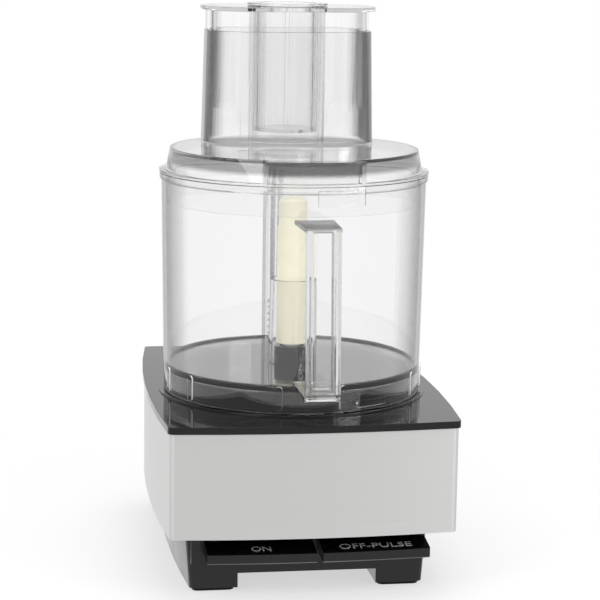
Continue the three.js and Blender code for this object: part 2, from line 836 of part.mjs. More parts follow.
const statorPlate = (z0, z1) =>
  raised(roundedRectangle(-statorHalf, statorHalf, -statorHalf, statorHalf, statorCorner), z0, z1, 4);

const statorCore = () => cut(
  statorPlate(statorBottom, statorTop),
  post(rotorRadius + runGap, statorBottom - bite, statorTop + bite, 0, 0, 32),
  ...boltHoles(statorBottom - bite, statorTop + bite),
);
const winding = (z0) =>
  pipe(statorHalf - windingInset, rotorRadius + runGap + bite, z0, z0 + windingHeight);

// plate with a bearing collar and posts that reach to the stator
function bracket(plateZ, collarZ, postZ0, postZ1) {
  const top = plateZ + bracketThick;
  return cut(
    joined(
      statorPlate(plateZ, top),
      post(bearingRadius + bearingWall, collarZ, collarZ + bearingHeight, 0, 0, 24),
      ...boltSpots.map(([x, y]) => post(postRadius, postZ0, postZ1, x, y, 10)),
    ),
    post(bearingRadius + seatGap, collarZ - bite, collarZ + bearingHeight + bite, 0, 0, 24),
    ...boltHoles(Math.min(plateZ, postZ0) - bite, Math.max(top, postZ1) + bite),
  );
}
const upperBracket = () => bracket(upperPlateZ, upperPlateZ, statorTop, upperPlateZ + bite);
const lowerBracket = () =>
  bracket(lowerPlateZ, lowerBearingZ, lowerPlateZ + bracketThick - bite, statorBottom);
const bearing = (z0) => pipe(bearingRadius, shaftRadius + seatGap, z0, z0 + bearingHeight, 0, 0, 24);

const motorBolt = ([x, y]) => joined(
  post(boltRadius, lowerPlateZ - bite, mountTop + boltGrip, x, y, 8),
  post(boltHead, lowerPlateZ - seatGap - boltHeadHeight, lowerPlateZ - seatGap, x, y, 6),
);
const rubberMount = ([x, y]) => pipe(
  boltRadius + mountWall, boltRadius + seatGap, upperPlateZ + bracketThick, mountTop, x, y, 12,
);

const rotorCore = () => pipe(rotorRadius, shaftRadius + seatGap, statorBottom, statorTop);
const driveShaft = () => cut(
  post(shaftRadius, fanBottom - shaftTail, shaftTop, 0, 0, 24),
  box(shaftRadius - shaftFlat, shaftRadius + bite, -shaftRadius, shaftRadius,
    towerTop + shaftRise, shaftTop + bite),
);
function coolingFan() {
  const bladeLength = fanRadius - fanHub + bite;
  const blades = range(fanBlades).map((i) => {
    const geometry = new THREE.BoxGeometry(bladeLength, fanBladeThick, fanHeight - fanDisc);
    geometry.translate(fanRadius - bite - bladeLength / 2, 0, fanBottom + fanHeight / 2);
    return solid(geometry.rotateZ(radians((360 / fanBlades) * i)));
  });
  return cut(
    joined(
      post(fanRadius, fanBottom, fanBottom + fanDisc, 0, 0, 32),
      post(fanHub, fanBottom + bite, fanBottom + fanHeight, 0, 0, 24),
      ...blades,
    ),
    post(shaftRadius + seatGap, fanBottom - bite, fanBottom + fanHeight + bite),
  );
}
function discStem() {
  const stemBottom = towerTop + stemClear;
  const stemStep = shaftTop + stemStepRise;
  const stemTop = stemStep + stemHead;
  const neck = stemRadius - stemNeck;
  return turned([
    [shaftRadius + seatGap, stemBottom], [stemRadius, stemBottom], [stemRadius, stemStep],
    [neck, stemStep + stemSlope], [neck, stemTop - stemChamfer], [neck - stemChamfer, stemTop],
    [0, stemTop], [0, shaftTop + seatGap], [shaftRadius + seatGap, shaftTop + seatGap],
  ], 24);
}

const shaftSeal = () =>
  pipe(towerRadius - towerWall - seatGap, shaftRadius + runGap, towerTop - sealHeight, towerTop);
const capacitor = () =>
  post(capacitorRadius, floorTop + seatGap, floorTop + seatGap + capacitorHeight, capacitorX, capacitorY, 24);
const controlBoard = () => box(boardLeft, boardRight, boardFront, boardBack, boardZ, boardZ + boardThick);
function relay() {
  const [x, y, z] = [boardLeft + relayLeft, boardFront + relayFront, boardZ + boardThick + seatGap];
  return box(x, x + relayWidth, y, y + relayDepth, z, z + relayHeight);
}
const interlockSwitch = () => box(
  -interlockHalf, interlockHalf, rodY - interlockDepth / 2, rodY + interlockDepth / 2,
  switchTop - interlockHeight, switchTop - seatGap,
);
const interlockPlunger = () => post(plungerRadius, plungerBottom, rodBottom - runGap, 0, rodY, 16);

// ---- bowl, handle and interlock rod ----

const wallFoot = rimTop - beadHeight;
const wallAt = (z) => skirtRadius + (bowlFlare * (z - skirtBottom)) / (wallFoot - skirtBottom);
const chimneyInside = chimneyRadius - chimneyWall + chimneyDraft;

// everything inside the bowl's outer wall, for cutting what stands against it
const insideBowl = (z0, z1) => turned([
  [0, z0], [wallAt(z0) + seatGap, z0], [wallAt(z1) + seatGap, z1], [0, z1],
]);

function workBowl() {
  const floorUnderside = bowlFloorTop - bowlFloorThick;
  const floorEdge = wallAt(bowlFloorTop) - bowlWall;
  const shell = turned([
    [skirtRadius - bowlWall, skirtBottom],
    [skirtRadius, skirtBottom],
    [rimRadius, wallFoot - beadChamfer],
    [beadRadius, wallFoot],
    [beadRadius, rimTop],
    [rimRadius - bowlWall, rimTop],
    [floorEdge, bowlFloorTop + floorFillet],
    [floorEdge - floorFillet, bowlFloorTop],
    [chimneyInside, bowlFloorTop],
    [chimneyInside, floorUnderside],
    [skirtRadius - bowlWall, floorUnderside],
  ]);
  const ribSpan = (ribWidth / 2 / skirtRadius) * (180 / Math.PI);
  const ribs = ribAngles.flatMap((angle) => [-angle, angle]).map((angle) => sector(
    skirtRadius + ribOut, skirtRadius - bowlWall / 2, skirtBottom, bowlFloorTop + ribRise,
    angle - ribSpan, angle + ribSpan, 2,
  ));
  const bowlLugTop = lugTop - baseLugThick - lugRunGap;
  const lugs = lugSpots.map((angle) => sector(
    skirtRadius - bowlWall / 2, drumRadius + bite, bowlLugTop - bowlLugThick, bowlLugTop,
    angle - lugAngle / 2, angle + lugAngle / 2, 4,
  ));
  return joined(shell, ...ribs, ...lugs);
}

// tube round the shaft's tower, moulded onto the bowl's floor
const bowlChimney = () => turned([
  [chimneyInside, bowlFloorTop],
  [chimneyRadius + bite, bowlFloorTop],
  [chimneyRadius - chimneyDraft, chimneyTop],
  [chimneyInside - 2 * chimneyDraft, chimneyTop],
], 32);

// three-sided channel with a floor, closed by the bowl's wall
function rodChannel() {
  const [z0, z1] = [channelFloorTop - channelWall, wallFoot - bite];
  const hollowHalf = channelHalf - channelWall;
  return cut(
    box(-channelHalf, channelHalf, skirtRadius, channelBack, z0, z1),
    box(-hollowHalf, hollowHalf, beadRadius + bite, channelBack - channelWall, channelFloorTop, z1 + bite),
    post(rodRadius + runGap, z0 - bite, channelFloorTop + bite, 0, rodY),
    insideBowl(z0 - bite, z1 + bite),
  );
}

function bowlHandle() {
  const root = -skirtRadius;
  const armUnder = handleTop - armThick;
  const footRise = handleBottom + armThick;
  const topFront = handleLean - handleFront;
  const plan = (near, nearHalf, far, farHalf) => new THREE.Shape([
    new THREE.Vector2(-nearHalf, near), new THREE.Vector2(nearHalf, near),
    new THREE.Vector2(farHalf, far), new THREE.Vector2(-farHalf, far),
  ]);
  const armPlan = (near) => plan(near, handleHalf, root, handleRootHalf);
  // the grip leans back towards its top
  const lean = (x, y, z) =>
    [x, y + (handleLean * (z - handleBottom)) / (handleTop - handleBottom), z];
  const gripPlan = plan(-handleFront, handleHalf, -handleFront + gripDepth, handleHalf - gripTaper);
  const channelHalfWidth = handleHalf - gripWall;
  const channelPlan = plan(
    -handleFront + gripFront, channelHalfWidth, -handleFront + gripDepth + bite, channelHalfWidth,
  );
  const lowerArm = across([
    [-handleFront + gripRound, handleBottom], [root, handleBottom + armRise],
    [root, footRise + armRise], [-handleFront + gripRound, footRise],
  ], -handleRootHalf, handleRootHalf);
  const gripFoot = across([
    [-farSide, handleBottom + gripRound], [-handleFront, handleBottom + gripRound],
    [-handleFront + gripRound, handleBottom], [-farSide, handleBottom - farSide],
  ].reverse(), -farSide, farSide);
  return cut(
    joined(
      raisedBent(gripPlan, handleBottom, handleTop, lean),
      raised(armPlan(topFront), armUnder, handleTop),
      lowerArm.intersect(raised(armPlan(-handleFront), handleBottom - bite, handleTop)),
    ),
    raisedBent(channelPlan, handleBottom + gripFloor, armUnder, lean),
    gripFoot,
    insideBowl(handleBottom - bite, handleTop + bite),
  );
}

function interlockRod() {
  return joined(
    post(rodRadius, rodBottom, rodTop, 0, rodY, 16),
    post(collarRadius, collarBottom, collarBottom + collarHeight, 0, rodY, 16),
  );
}

function rodSpring() {
  const coilRadius = rodRadius + springWire + runGap;
  const bottom = channelFloorTop + springWire + seatGap;
  const top = collarBottom - springWire - seatGap;
  class Helix extends THREE.Curve {
    getPoint(share, target = new THREE.Vector3()) {
      const angle = share * springTurns * 2 * Math.PI;
      return target.set(
        coilRadius * Math.cos(angle), rodY + coilRadius * Math.sin(angle), bottom + (top - bottom) * share,
      );
    }
  }
  const section = new THREE.Shape();
  section.absarc(0, 0, springWire, 0, 2 * Math.PI);
  const geometry = new THREE.ExtrudeGeometry(section, {
    steps: springTurns * 8, curveSegments: 3, bevelEnabled: false, extrudePath: new Helix(),
  });
  return solid(geometry);
}

// ---- cover and feed tube ----

// an oval with a nearly flat front and back
function oval(grow) {
  const half = tubeHalf + grow;
  const [front, back] = [tubeFront - grow, tubeBack + grow];
  const [near, far] = [frontCorner + grow, backCorner + grow];
  const shape = new THREE.Shape();
  shape.moveTo(-half + near, front);
  shape.lineTo(half - near, front);
  shape.absarc(half - near, front + near, near, -Math.PI / 2, 0);
  shape.absarc(half - far, back - far, far, 0, Math.PI / 2);
  shape.absarc(-half + far, back - far, far, Math.PI / 2, Math.PI);
  shape.absarc(-half + near, front + near, near, Math.PI, 1.5 * Math.PI);
  return shape;
}
// its walls lean outwards towards the foot
const tubeSolid = (grow, z0, z1) => raisedBent(oval(grow), z0, z1, (x, y, z) => {
  const out = 1 + ((tubeDraft / tubeHeight) * (tubeTop - z)) / Math.hypot(x, y - tubeMiddle);
  return [x * out, tubeMiddle + (y - tubeMiddle) * out, z];
});

const flangeUnder = rimTop + seatGap;
const flangeUpper = flangeUnder + lidFlange;
const flangeEdge = beadRadius + flangeOver;

function coverLid() {
  const skirtOuter = rimRadius - bowlWall - innerSkirtGap;
  const skirtInner = skirtOuter - innerSkirtWall;
  const skirtEnd = rimTop - innerSkirtDepth;
  const shell = turned([
    [skirtOuter, skirtEnd],
    [skirtOuter, flangeUnder],
    [flangeEdge, flangeUnder],
    [flangeEdge, flangeUpper],
    [lidFoot, flangeUpper],
    [lidRadius, lidTop],
    [0, lidTop],
    [0, lidTop - lidPlate],
    [lidRadius - lidPlate, lidTop - lidPlate],
    [skirtInner, flangeUpper],
    [skirtInner, skirtEnd],
  ]);
  const tabFoot = flangeUpper - bite;
  const tabInner = beadRadius + tabClear;
  const tabBottom = rimTop - tabDepth;
  const tab = cut(
    sector(tabRadius, lidRadius - 2 * bite, tabFoot, lidTop, tabLeft, tabRight, 8),
    sector(tabRadius - tabWall, lidFoot + seatGap, tabFoot - bite, lidTop - tabWall,
      tabLeft + tabEdge, tabRight - tabEdge, 8),
  );
  const apron = sector(tabRadius, tabInner, tabBottom, tabFoot + bite, tabLeft, tabRight, 8);
  const drop = sector(tabRadius, tabInner, rimTop - tabDropDepth, tabBottom + bite, tabStep, tabRight, 4);
  return cut(joined(shell, tab, apron, drop), tubeSolid(-tubeWall, lidTop - lidRise, lidTop + lidRise));
}

// flat tab behind the cover that presses the interlock rod as the cover is turned home
const rodTab = () => cut(
  sector(channelBack, beadRadius - bite, flangeUnder, flangeUpper, 180 - rodTabAngle, 180 + rodTabAngle, 2),
  post(flangeEdge + seatGap, flangeUnder - bite, flangeUpper + bite, 0, 0, 48),
);

const feedTube = () =>
  cut(tubeSolid(0, lidTop, tubeTop), tubeSolid(-tubeWall, lidTop - bite, tubeTop + bite));

// ---- pushers ----

function largePusher() {
  const shellGrow = -tubeWall - runGap;
  const shellTop = flangeTop - flangePlate;
  const shellFront = flangeTop - shellFrontDepth;
  const shellBack = flangeTop - shellBackDepth;
  const shellNotch = flangeTop - shellNotchDepth;
  let body = joined(
    raised(oval(flangeOut), flangeTop - flangeRim, flangeTop),
    cut(
      raised(oval(shellGrow), shellFront, shellTop + bite),
      raised(oval(shellGrow - shellWall), shellFront - bite, shellTop),
    ),
  );
  // the lower edge is cut away at the sides, less at the front than at the back
  const sideCuts = [[notchFront, -farSide, tubeMiddle], [notchBack, tubeMiddle - bite, farSide]];
  body = cut(
    body,
    box(-farSide, farSide, tubeMiddle, farSide, shellFront - bite, shellBack),
    ...sideCuts.flatMap(([half, y0, y1]) =>
      bothSides(half, farSide).map((x) => box(...x, y0, y1, shellFront - bite, shellNotch))),
  );
  const supportOuter = tubeHalf - supportInset;
  const supportY = [smallCentre - supportFront, smallCentre + supportBack];
  const supports = bothSides(supportOuter - supportThick, supportOuter).map((x) =>
    box(...x, ...supportY, tubeTop + seatGap, flangeTop - flangeRim + bite));
  const smallTubeBottom = flangeTop - smallTubeDepth;
  return cut(
    joined(
      body,
      post(smallTubeRadius, smallTubeBottom, flangeTop - bite, 0, smallCentre, 32),
      ...supports,
    ),
    post(smallTubeRadius - smallTubeWall, smallTubeBottom - bite, flangeTop + bite, 0, smallCentre, 32),
  );
}

function smallPusher() {
  const capUnder = flangeTop + seatGap;
  const cupTop = capUnder + bite / 2;
  const cupBottom = flangeTop - cupDepth;
  const ribReach = smallTubeRadius - smallTubeWall - runGap;
  const cupRadius = ribReach - cupRibDepth;
  const ribs = range(cupRibs).map((i) => {
    const geometry = new THREE.BoxGeometry(cupRibDepth + bite, cupRibWidth, cupTop - cupBottom);
    geometry.translate(cupRadius + (cupRibDepth - bite) / 2, 0, (cupTop + cupBottom) / 2);
    return solid(geometry.rotateZ(radians((360 / cupRibs) * i + cupRibTurn)).translate(0, smallCentre, 0));
  });
  return cut(
    joined(
      post(cupRadius, cupBottom, cupTop, 0, smallCentre, 32),
      post(smallTubeRadius + cupCapOut, capUnder, capUnder + cupCapThick, 0, smallCentre, 32),
      ...ribs,
    ),
    post(cupRadius - cupWall, cupBottom + cupWall, capUnder + cupCapThick + bite, 0, smallCentre, 32),
  );
}

// ---- the whole product ----

part('base_housing', baseHousing(), glossBlack);
part('drive_drum', driveDrum(), glossBlack);
part('wrap_panel', wrapPanel(), stainless);
part('rear_cover', rearCover(), satinBlack);
part('cord_gland', cordGland(), rubberBlack);
part('lower_base', lowerBase(), satinBlack);
part('foot_front_left', foot(-1, -1), rubberBlack);
part('foot_front_right', foot(1, -1), rubberBlack);
part('foot_back_left', foot(-1, 1), rubberBlack);
part('foot_back_right', foot(1, 1), rubberBlack);
bossSpots.forEach((spot, i) => part(`base_screw_${i + 1}`, baseScrew(spot), steel));
rearScrewSpots.forEach((spot, i) => part(`rear_screw_${i + 1}`, rearScrew(spot), steel));

part('lever_on', lever(leverLefts[0]), satinBlack);
part('lever_off', lever(leverLefts[1]), satinBlack);
part('lever_rod', leverRod(), steel);
part('switch_on', leverSwitch(leverLefts[0]), switchBlack);
part('switch_off', leverSwitch(leverLefts[1]), switchBlack);
part('plunger_on', leverPlunger(leverLefts[0]), plungerWhite);
part('plunger_off', leverPlunger(leverLefts[1]), plungerWhite);

part('stator_core', statorCore(), laminate);
part('winding_top', winding(statorTop), copper);
part('winding_bottom', winding(statorBottom - windingHeight), copper);
part('upper_bracket', upperBracket(), alloy);
part('lower_bracket', lowerBracket(), alloy);
part('bearing_top', bearing(upperPlateZ), steel);
part('bearing_bottom', bearing(lowerBearingZ), steel);
boltSpots.forEach((spot, i) => part(`motor_bolt_${i + 1}`, motorBolt(spot), steel));
boltSpots.forEach((spot, i) => part(`rubber_mount_${i + 1}`, rubberMount(spot), rubberBlack));
part('rotor_core', rotorCore(), laminate);
part('drive_shaft', driveShaft(), steel);
part('cooling_fan', coolingFan(), switchBlack);
part('disc_stem', discStem(), ivory);
part('shaft_seal', shaftSeal(), rubberBlack);
part('capacitor', capacitor(), capacitorGrey);
part('control_board', controlBoard(), boardGreen);
part('relay', relay(), switchBlack);
part('interlock_switch', interlockSwitch(), switchBlack);
part('interlock_plunger', interlockPlunger(), plungerWhite);

part('work_bowl', workBowl(), clearFinish);
part('bowl_chimney', bowlChimney(), clearFinish);
part('bowl_handle', bowlHandle(), clearFinish);
part('rod_channel', rodChannel(), clearFinish);
part('interlock_rod', interlockRod(), steel);
part('rod_spring', rodSpring(), steel);
part('cover_lid', coverLid(), clearFinish);
part('rod_tab', rodTab(), clearFinish);
part('feed_tube', feedTube(), clearFinish);
part('large_pusher', largePusher(), clearFinish);
part('small_pusher', smallPusher(), clearFinish);

export default product;
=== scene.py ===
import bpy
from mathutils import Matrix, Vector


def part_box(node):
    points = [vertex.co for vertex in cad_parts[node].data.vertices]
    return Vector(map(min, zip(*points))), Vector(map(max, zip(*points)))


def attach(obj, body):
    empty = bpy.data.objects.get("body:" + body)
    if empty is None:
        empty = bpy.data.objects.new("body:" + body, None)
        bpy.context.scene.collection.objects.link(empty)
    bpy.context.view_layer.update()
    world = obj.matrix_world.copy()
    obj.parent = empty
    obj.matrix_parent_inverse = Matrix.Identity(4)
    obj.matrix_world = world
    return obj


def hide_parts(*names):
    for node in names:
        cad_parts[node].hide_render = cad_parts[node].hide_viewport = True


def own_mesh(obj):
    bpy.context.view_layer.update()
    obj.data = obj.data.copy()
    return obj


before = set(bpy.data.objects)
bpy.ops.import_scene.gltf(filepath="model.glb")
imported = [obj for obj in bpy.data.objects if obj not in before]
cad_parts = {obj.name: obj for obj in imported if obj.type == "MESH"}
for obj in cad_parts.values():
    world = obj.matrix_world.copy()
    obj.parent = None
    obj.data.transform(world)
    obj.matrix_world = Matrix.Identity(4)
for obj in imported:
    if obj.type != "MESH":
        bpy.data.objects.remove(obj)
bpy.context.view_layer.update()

import math

import bpy
from mathutils import Matrix, Vector

scene = bpy.context.scene
scene.view_settings.view_transform = "Standard"
lightBounces = 40  # enough to see through all the clear walls behind each other
for limit in ("max_bounces", "transmission_bounces", "transparent_max_bounces"):
    setattr(scene.cycles, limit, lightBounces)

millimetre = 0.001
fullTurn = 2 * math.pi


view = {
    "lens": 127.93,
    "sensor": 36,
    "clipEnd": 50,
    "place": (-0.2208, -1.4221, 0.4366),
    "turn": 9.1,  # degrees to the right of straight ahead
    "down": 10.22,
    "roll": 0.85,
}


def addCamera():
    bpy.ops.object.camera_add(location=view["place"])
    camera = bpy.context.object
    camera.name = "camera"
    camera.data.lens = view["lens"]
    camera.data.sensor_width = view["sensor"]
    camera.data.clip_end = view["clipEnd"]
    turn = Matrix.Rotation(math.radians(-view["turn"]), 4, "Z")
    tilt = Matrix.Rotation(math.radians(90 - view["down"]), 4, "X")
    roll = Matrix.Rotation(math.radians(view["roll"]), 4, "Z")
    camera.matrix_world = Matrix.Translation(view["place"]) @ turn @ tilt @ roll
    scene.camera = camera


addCamera()

lamps = {
    "keyLeft": {"place": (-1.3, -1.1, 1.3), "size": (0.9, 1.2), "power": 13},
    "keyRight": {"place": (1.2, -1.3, 1.0), "size": (0.8, 1.1), "power": 10},
    "top": {"place": (0.1, 0.1, 1.9), "size": (1.3, 1.3), "power": 12},
}
lampAim = (0, 0, 0.15)


def addLamp(name, setup):
    bpy.ops.object.light_add(type="AREA", location=setup["place"])
    lamp = bpy.context.object
    lamp.name = name
    lamp.data.shape = "RECTANGLE"
    lamp.data.size, lamp.data.size_y = setup["size"]
    lamp.data.energy = setup["power"]
    aim = Vector(lampAim) - Vector(setup["place"])
    lamp.rotation_euler = aim.to_track_quat("-Z", "Y").to_euler()


for lampName, lampSetup in lamps.items():
    addLamp(lampName, lampSetup)

studio = {
    "lighting": (0.62, 0.62, 0.62, 1),
    "background": (1, 1, 1, 1),  # what the camera, metal and clear pieces see of the room and the floor
    "floor": (0.94, 0.94, 0.94, 1),
    "floorRoughness": 0.7,
    "floorSize": 12,
    "glowShare": (0.6, 1),  # how white the camera sees the floor: beside the object, and far from it
    "glowReach": (0.15, 0.4),
}
seenRays = ("Is Camera Ray", "Is Glossy Ray", "Is Transmission Ray")


def joinRays(nodes, links, names):
    # one value that is 1 for each named kind of ray
    rays = nodes.new("ShaderNodeLightPath")
    total = rays.outputs[names[0]]
    for name in names[1:]:
        total = addMath(nodes, links, "MAXIMUM", total, rays.outputs[name])
    return total


def addMath(nodes, links, operation, first, second):
    step = nodes.new("ShaderNodeMath")
    step.operation = operation
    for socket, value in zip(step.inputs, (first, second)):
        if isinstance(value, (int, float)):
            socket.default_value = value
        else:
            links.new(value, socket)
    return step.outputs[0]


def addRange(nodes, links, value, start, end):
    change = nodes.new("ShaderNodeMapRange")
    for name, number in zip(("From Min", "From Max", "To Min", "To Max"), (*start, *end)):
        change.inputs[name].default_value = number
    links.new(value, change.inputs["Value"])
    return change.outputs[0]


def addMix(nodes, links, share, first, second):
    mix = nodes.new("ShaderNodeMix")
    mix.data_type = "RGBA"
    links.new(share, mix.inputs[0])
    for socket, colour in zip((mix.inputs[6], mix.inputs[7]), (first, second)):
        if isinstance(colour, tuple):
            socket.default_value = colour
        else:
            links.new(colour, socket)
    return mix.outputs[2]


def addWorld():
    world = bpy.data.worlds.new("studio")
    scene.world = world
    world.use_nodes = True
    nodes, links = world.node_tree.nodes, world.node_tree.links
    seen = addMix(nodes, links, joinRays(nodes, links, seenRays), studio["lighting"], studio["background"])
    links.new(seen, nodes["Background"].inputs["Color"])


addWorld()


def addFloor():
    # plain and pale; beside the object it keeps more of its own paint, and so the object's shadow
    bpy.ops.mesh.primitive_plane_add(size=studio["floorSize"], location=(0, 0, 0))
    floor = bpy.context.object
    floor.name = "floor"
    material = bpy.data.materials.new("pale_floor")
    material.use_nodes = True
    nodes, links = material.node_tree.nodes, material.node_tree.links
    paint = nodes["Principled BSDF"]
    paint.inputs["Base Color"].default_value = studio["floor"]
    paint.inputs["Roughness"].default_value = studio["floorRoughness"]
    glow = nodes.new("ShaderNodeEmission")
    glow.inputs["Color"].default_value = studio["background"]
    place = nodes.new("ShaderNodeTexCoord")
    radius = nodes.new("ShaderNodeVectorMath")
    radius.operation = "LENGTH"
    links.new(place.outputs["Object"], radius.inputs[0])
    share = addRange(nodes, links, radius.outputs["Value"], studio["glowReach"], studio["glowShare"])
    direct = addMath(nodes, links, "MULTIPLY", share, joinRays(nodes, links, seenRays[:1]))
    seen = addMath(nodes, links, "MAXIMUM", direct, joinRays(nodes, links, seenRays[1:]))
    mix = nodes.new("ShaderNodeMixShader")
    links.new(seen, mix.inputs[0])
    links.new(paint.outputs[0], mix.inputs[1])
    links.new(glow.outputs[0], mix.inputs[2])
    links.new(mix.outputs[0], nodes["Material Output"].inputs["Surface"])
    floor.data.materials.append(material)


addFloor()
print("stage: camera, lamps and floor")

# lengths from here on are in millimetres
mergeWithin = 0.002
flatWithin = 0.3  # degrees between faces that count as one flat face
smoothOver = 35  # degrees between faces up to which shading is smooth
past = 1  # how far a cutting shape runs past what it cuts, and a joined one into what it joins


def deselect():
    if bpy.context.mode != "OBJECT":
        bpy.ops.object.mode_set(mode="OBJECT")
    bpy.ops.object.select_all(action="DESELECT")


def choose(piece):
    deselect()
    piece.select_set(True)
    bpy.context.view_layer.objects.active = piece


def editMesh(piece):
    choose(piece)
    bpy.ops.object.mode_set(mode="EDIT")
    bpy.ops.mesh.select_all(action="SELECT")


def closeMesh(piece):
    # merge doubles, then turn every face outwards
    editMesh(piece)
    bpy.ops.mesh.remove_doubles(threshold=mergeWithin * millimetre)
    bpy.ops.mesh.normals_make_consistent(inside=False)
    deselect()


def traceLine(name, points):
    # a chain of edges, from one point to the next
    deselect()
    places = [Vector(point) * millimetre for point in points]
    bpy.ops.mesh.primitive_plane_add(size=millimetre)
    piece = bpy.context.object
    piece.name = name
    editMesh(piece)
    bpy.ops.mesh.merge(type="CENTER")
    bpy.ops.transform.translate(value=places[0])
    for last, place in zip(places, places[1:]):
        bpy.ops.mesh.extrude_region_move(TRANSFORM_OT_translate={"value": place - last})
    bpy.ops.mesh.select_all(action="SELECT")
    return piece


def spinProfile(name, profile, steps, centre=(0, 0)):
    # pairs of radius and height, turned all the way round an upright axis
    piece = traceLine(name, [(centre[0] + radius, centre[1], height) for radius, height in profile])
    axisPoint = Vector((centre[0], centre[1], 0)) * millimetre
    bpy.ops.mesh.spin(steps=steps, angle=fullTurn, center=axisPoint, axis=(0, 0, 1))
    closeMesh(piece)
    return piece


def pullOutline(name, points, move):
    # a closed flat outline, extruded by a move
    piece = traceLine(name, points)
    bpy.ops.mesh.edge_face_add()
    bpy.ops.mesh.extrude_region_move(TRANSFORM_OT_translate={"value": Vector(move) * millimetre})
    closeMesh(piece)
    return piece


def pullBlock(name, low, high):
    corners = [(low[0], low[1]), (high[0], low[1]), (high[0], high[1]), (low[0], high[1])]
    return pullOutline(name, [(x, y, low[2]) for x, y in corners], (0, 0, high[2] - low[2]))


def turnPiece(piece, degrees, axis="Z", centre=(0, 0, 0)):
    point = Vector(centre) * millimetre
    turn = Matrix.Translation(point) @ Matrix.Rotation(math.radians(degrees), 4, axis)
    piece.data.transform(turn @ Matrix.Translation(-point))


def roundEdges(piece, width, segments=2, over=40):
    choose(piece)
    bevel = piece.modifiers.new("round_edges", "BEVEL")
    bevel.width = width * millimetre
    bevel.segments = segments
    bevel.limit_method = "ANGLE"
    bevel.angle_limit = math.radians(over)
    bpy.ops.object.modifier_apply(modifier=bevel.name)


def combine(piece, others, operation="UNION"):
    for other in others:
        choose(piece)
        step = piece.modifiers.new("combine", "BOOLEAN")
        step.object = other
        step.operation = operation
        step.solver = "EXACT"
        bpy.ops.object.modifier_apply(modifier=step.name)
        bpy.data.objects.remove(other)
    return piece


# pieces are made about the bowl's axis, and finish moves them to the frame's own origin
axisY = (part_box("drive_shaft")[0][1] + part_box("drive_shaft")[1][1]) / 2


def copyNode(name, node, edge, segments=2):
    # a CAD node's own shape, with its flat faces joined up and, if edge isn't 0, its edges rounded
    piece = bpy.data.objects.new(name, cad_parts[node].data.copy())
    scene.collection.objects.link(piece)
    piece.data.materials.clear()
    piece.data.transform(Matrix.Translation((0, -axisY, 0)))
    editMesh(piece)
    bpy.ops.mesh.customdata_custom_splitnormals_clear()
    bpy.ops.mesh.remove_doubles(threshold=mergeWithin * millimetre)
    bpy.ops.mesh.dissolve_limited(angle_limit=math.radians(flatWithin))
    bpy.ops.mesh.normals_make_consistent(inside=False)
    deselect()
    if edge:
        roundEdges(piece, edge, segments)
    return piece


def finish(piece, body, material, replaces=()):
    # its place in the frame, smooth shading that leaves flat faces flat, a finish and a body to ride on
    piece.data.transform(Matrix.Translation((0, axisY, 0)))
    choose(piece)
    bpy.ops.object.shade_smooth_by_angle(angle=math.radians(smoothOver))
    evenOut = piece.modifiers.new("even_out", "WEIGHTED_NORMAL")
    evenOut.keep_sharp = True
    bpy.ops.object.modifier_apply(modifier=evenOut.name)
    piece.data.materials.clear()
    piece.data.materials.append(material)
    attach(piece, body)
    if replaces:
        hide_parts(*replaces)
    deselect()


def reach(node, axis, end):
    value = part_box(node)[end]["xyz".index(axis)]
    return (value - axisY if axis == "y" else value) / millimetre


def low(node, axis):
    return reach(node, axis, 0)


def high(node, axis):
    return reach(node, axis, 1)


def startMaterial(name):
    material = bpy.data.materials.new(name)
    material.use_nodes = True
    nodes, links = material.node_tree.nodes, material.node_tree.links
    return material, nodes, links, nodes["Principled BSDF"]


def addPattern(nodes, links, kind, scale, stretch=(1, 1, 1), detail=3):
    # a pattern on Object coordinates; scale is in repeats to the metre
    place = nodes.new("ShaderNodeTexCoord")
    mapping = nodes.new("ShaderNodeMapping")
    mapping.inputs["Scale"].default_value = stretch
    pattern = nodes.new(kind)
    pattern.inputs["Scale"].default_value = scale
    if "Detail" in pattern.inputs:
        pattern.inputs["Detail"].default_value = detail
    links.new(place.outputs["Object"], mapping.inputs["Vector"])
    links.new(mapping.outputs["Vector"], pattern.inputs["Vector"])
    return pattern.outputs[0]


noiseSpan = (0.3, 0.7)  # where most of a noise pattern's values lie


def varyRoughness(nodes, links, shader, value, span):
    links.new(addRange(nodes, links, value, noiseSpan, span), shader.inputs["Roughness"])


def varyColour(nodes, links, shader, value, first, second):
    links.new(addMix(nodes, links, value, (*first, 1), (*second, 1)), shader.inputs["Base Color"])


def addRelief(nodes, links, shader, value, depth):
    relief = nodes.new("ShaderNodeBump")
    relief.inputs["Distance"].default_value = depth * millimetre
    links.new(value, relief.inputs["Height"])
    links.new(relief.outputs["Normal"], shader.inputs["Normal"])


def mouldedPlastic(name, look):
    # plain coloured plastic, rubber or paint: a little uneven in colour and gloss, with a fine grain
    material, nodes, links, shader = startMaterial(name)
    broad = addPattern(nodes, links, "ShaderNodeTexNoise", look.get("patch", 40))
    fine = addPattern(nodes, links, "ShaderNodeTexNoise", look.get("grain", 1500), detail=2)
    varyColour(nodes, links, shader, broad, look["colour"], look.get("other", look["colour"]))
    varyRoughness(nodes, links, shader, broad, look["roughness"])
    addRelief(nodes, links, shader, fine, look.get("relief", 0.01))
    shader.inputs["IOR"].default_value = look.get("ior", 1.5)
    return material


def addVector(nodes, links, operation, first, second=None):
    step = nodes.new("ShaderNodeVectorMath")
    step.operation = operation
    links.new(first, step.inputs[0])
    if isinstance(second, tuple):
        step.inputs[1].default_value = second
    elif second:
        links.new(second, step.inputs[1])
    return step


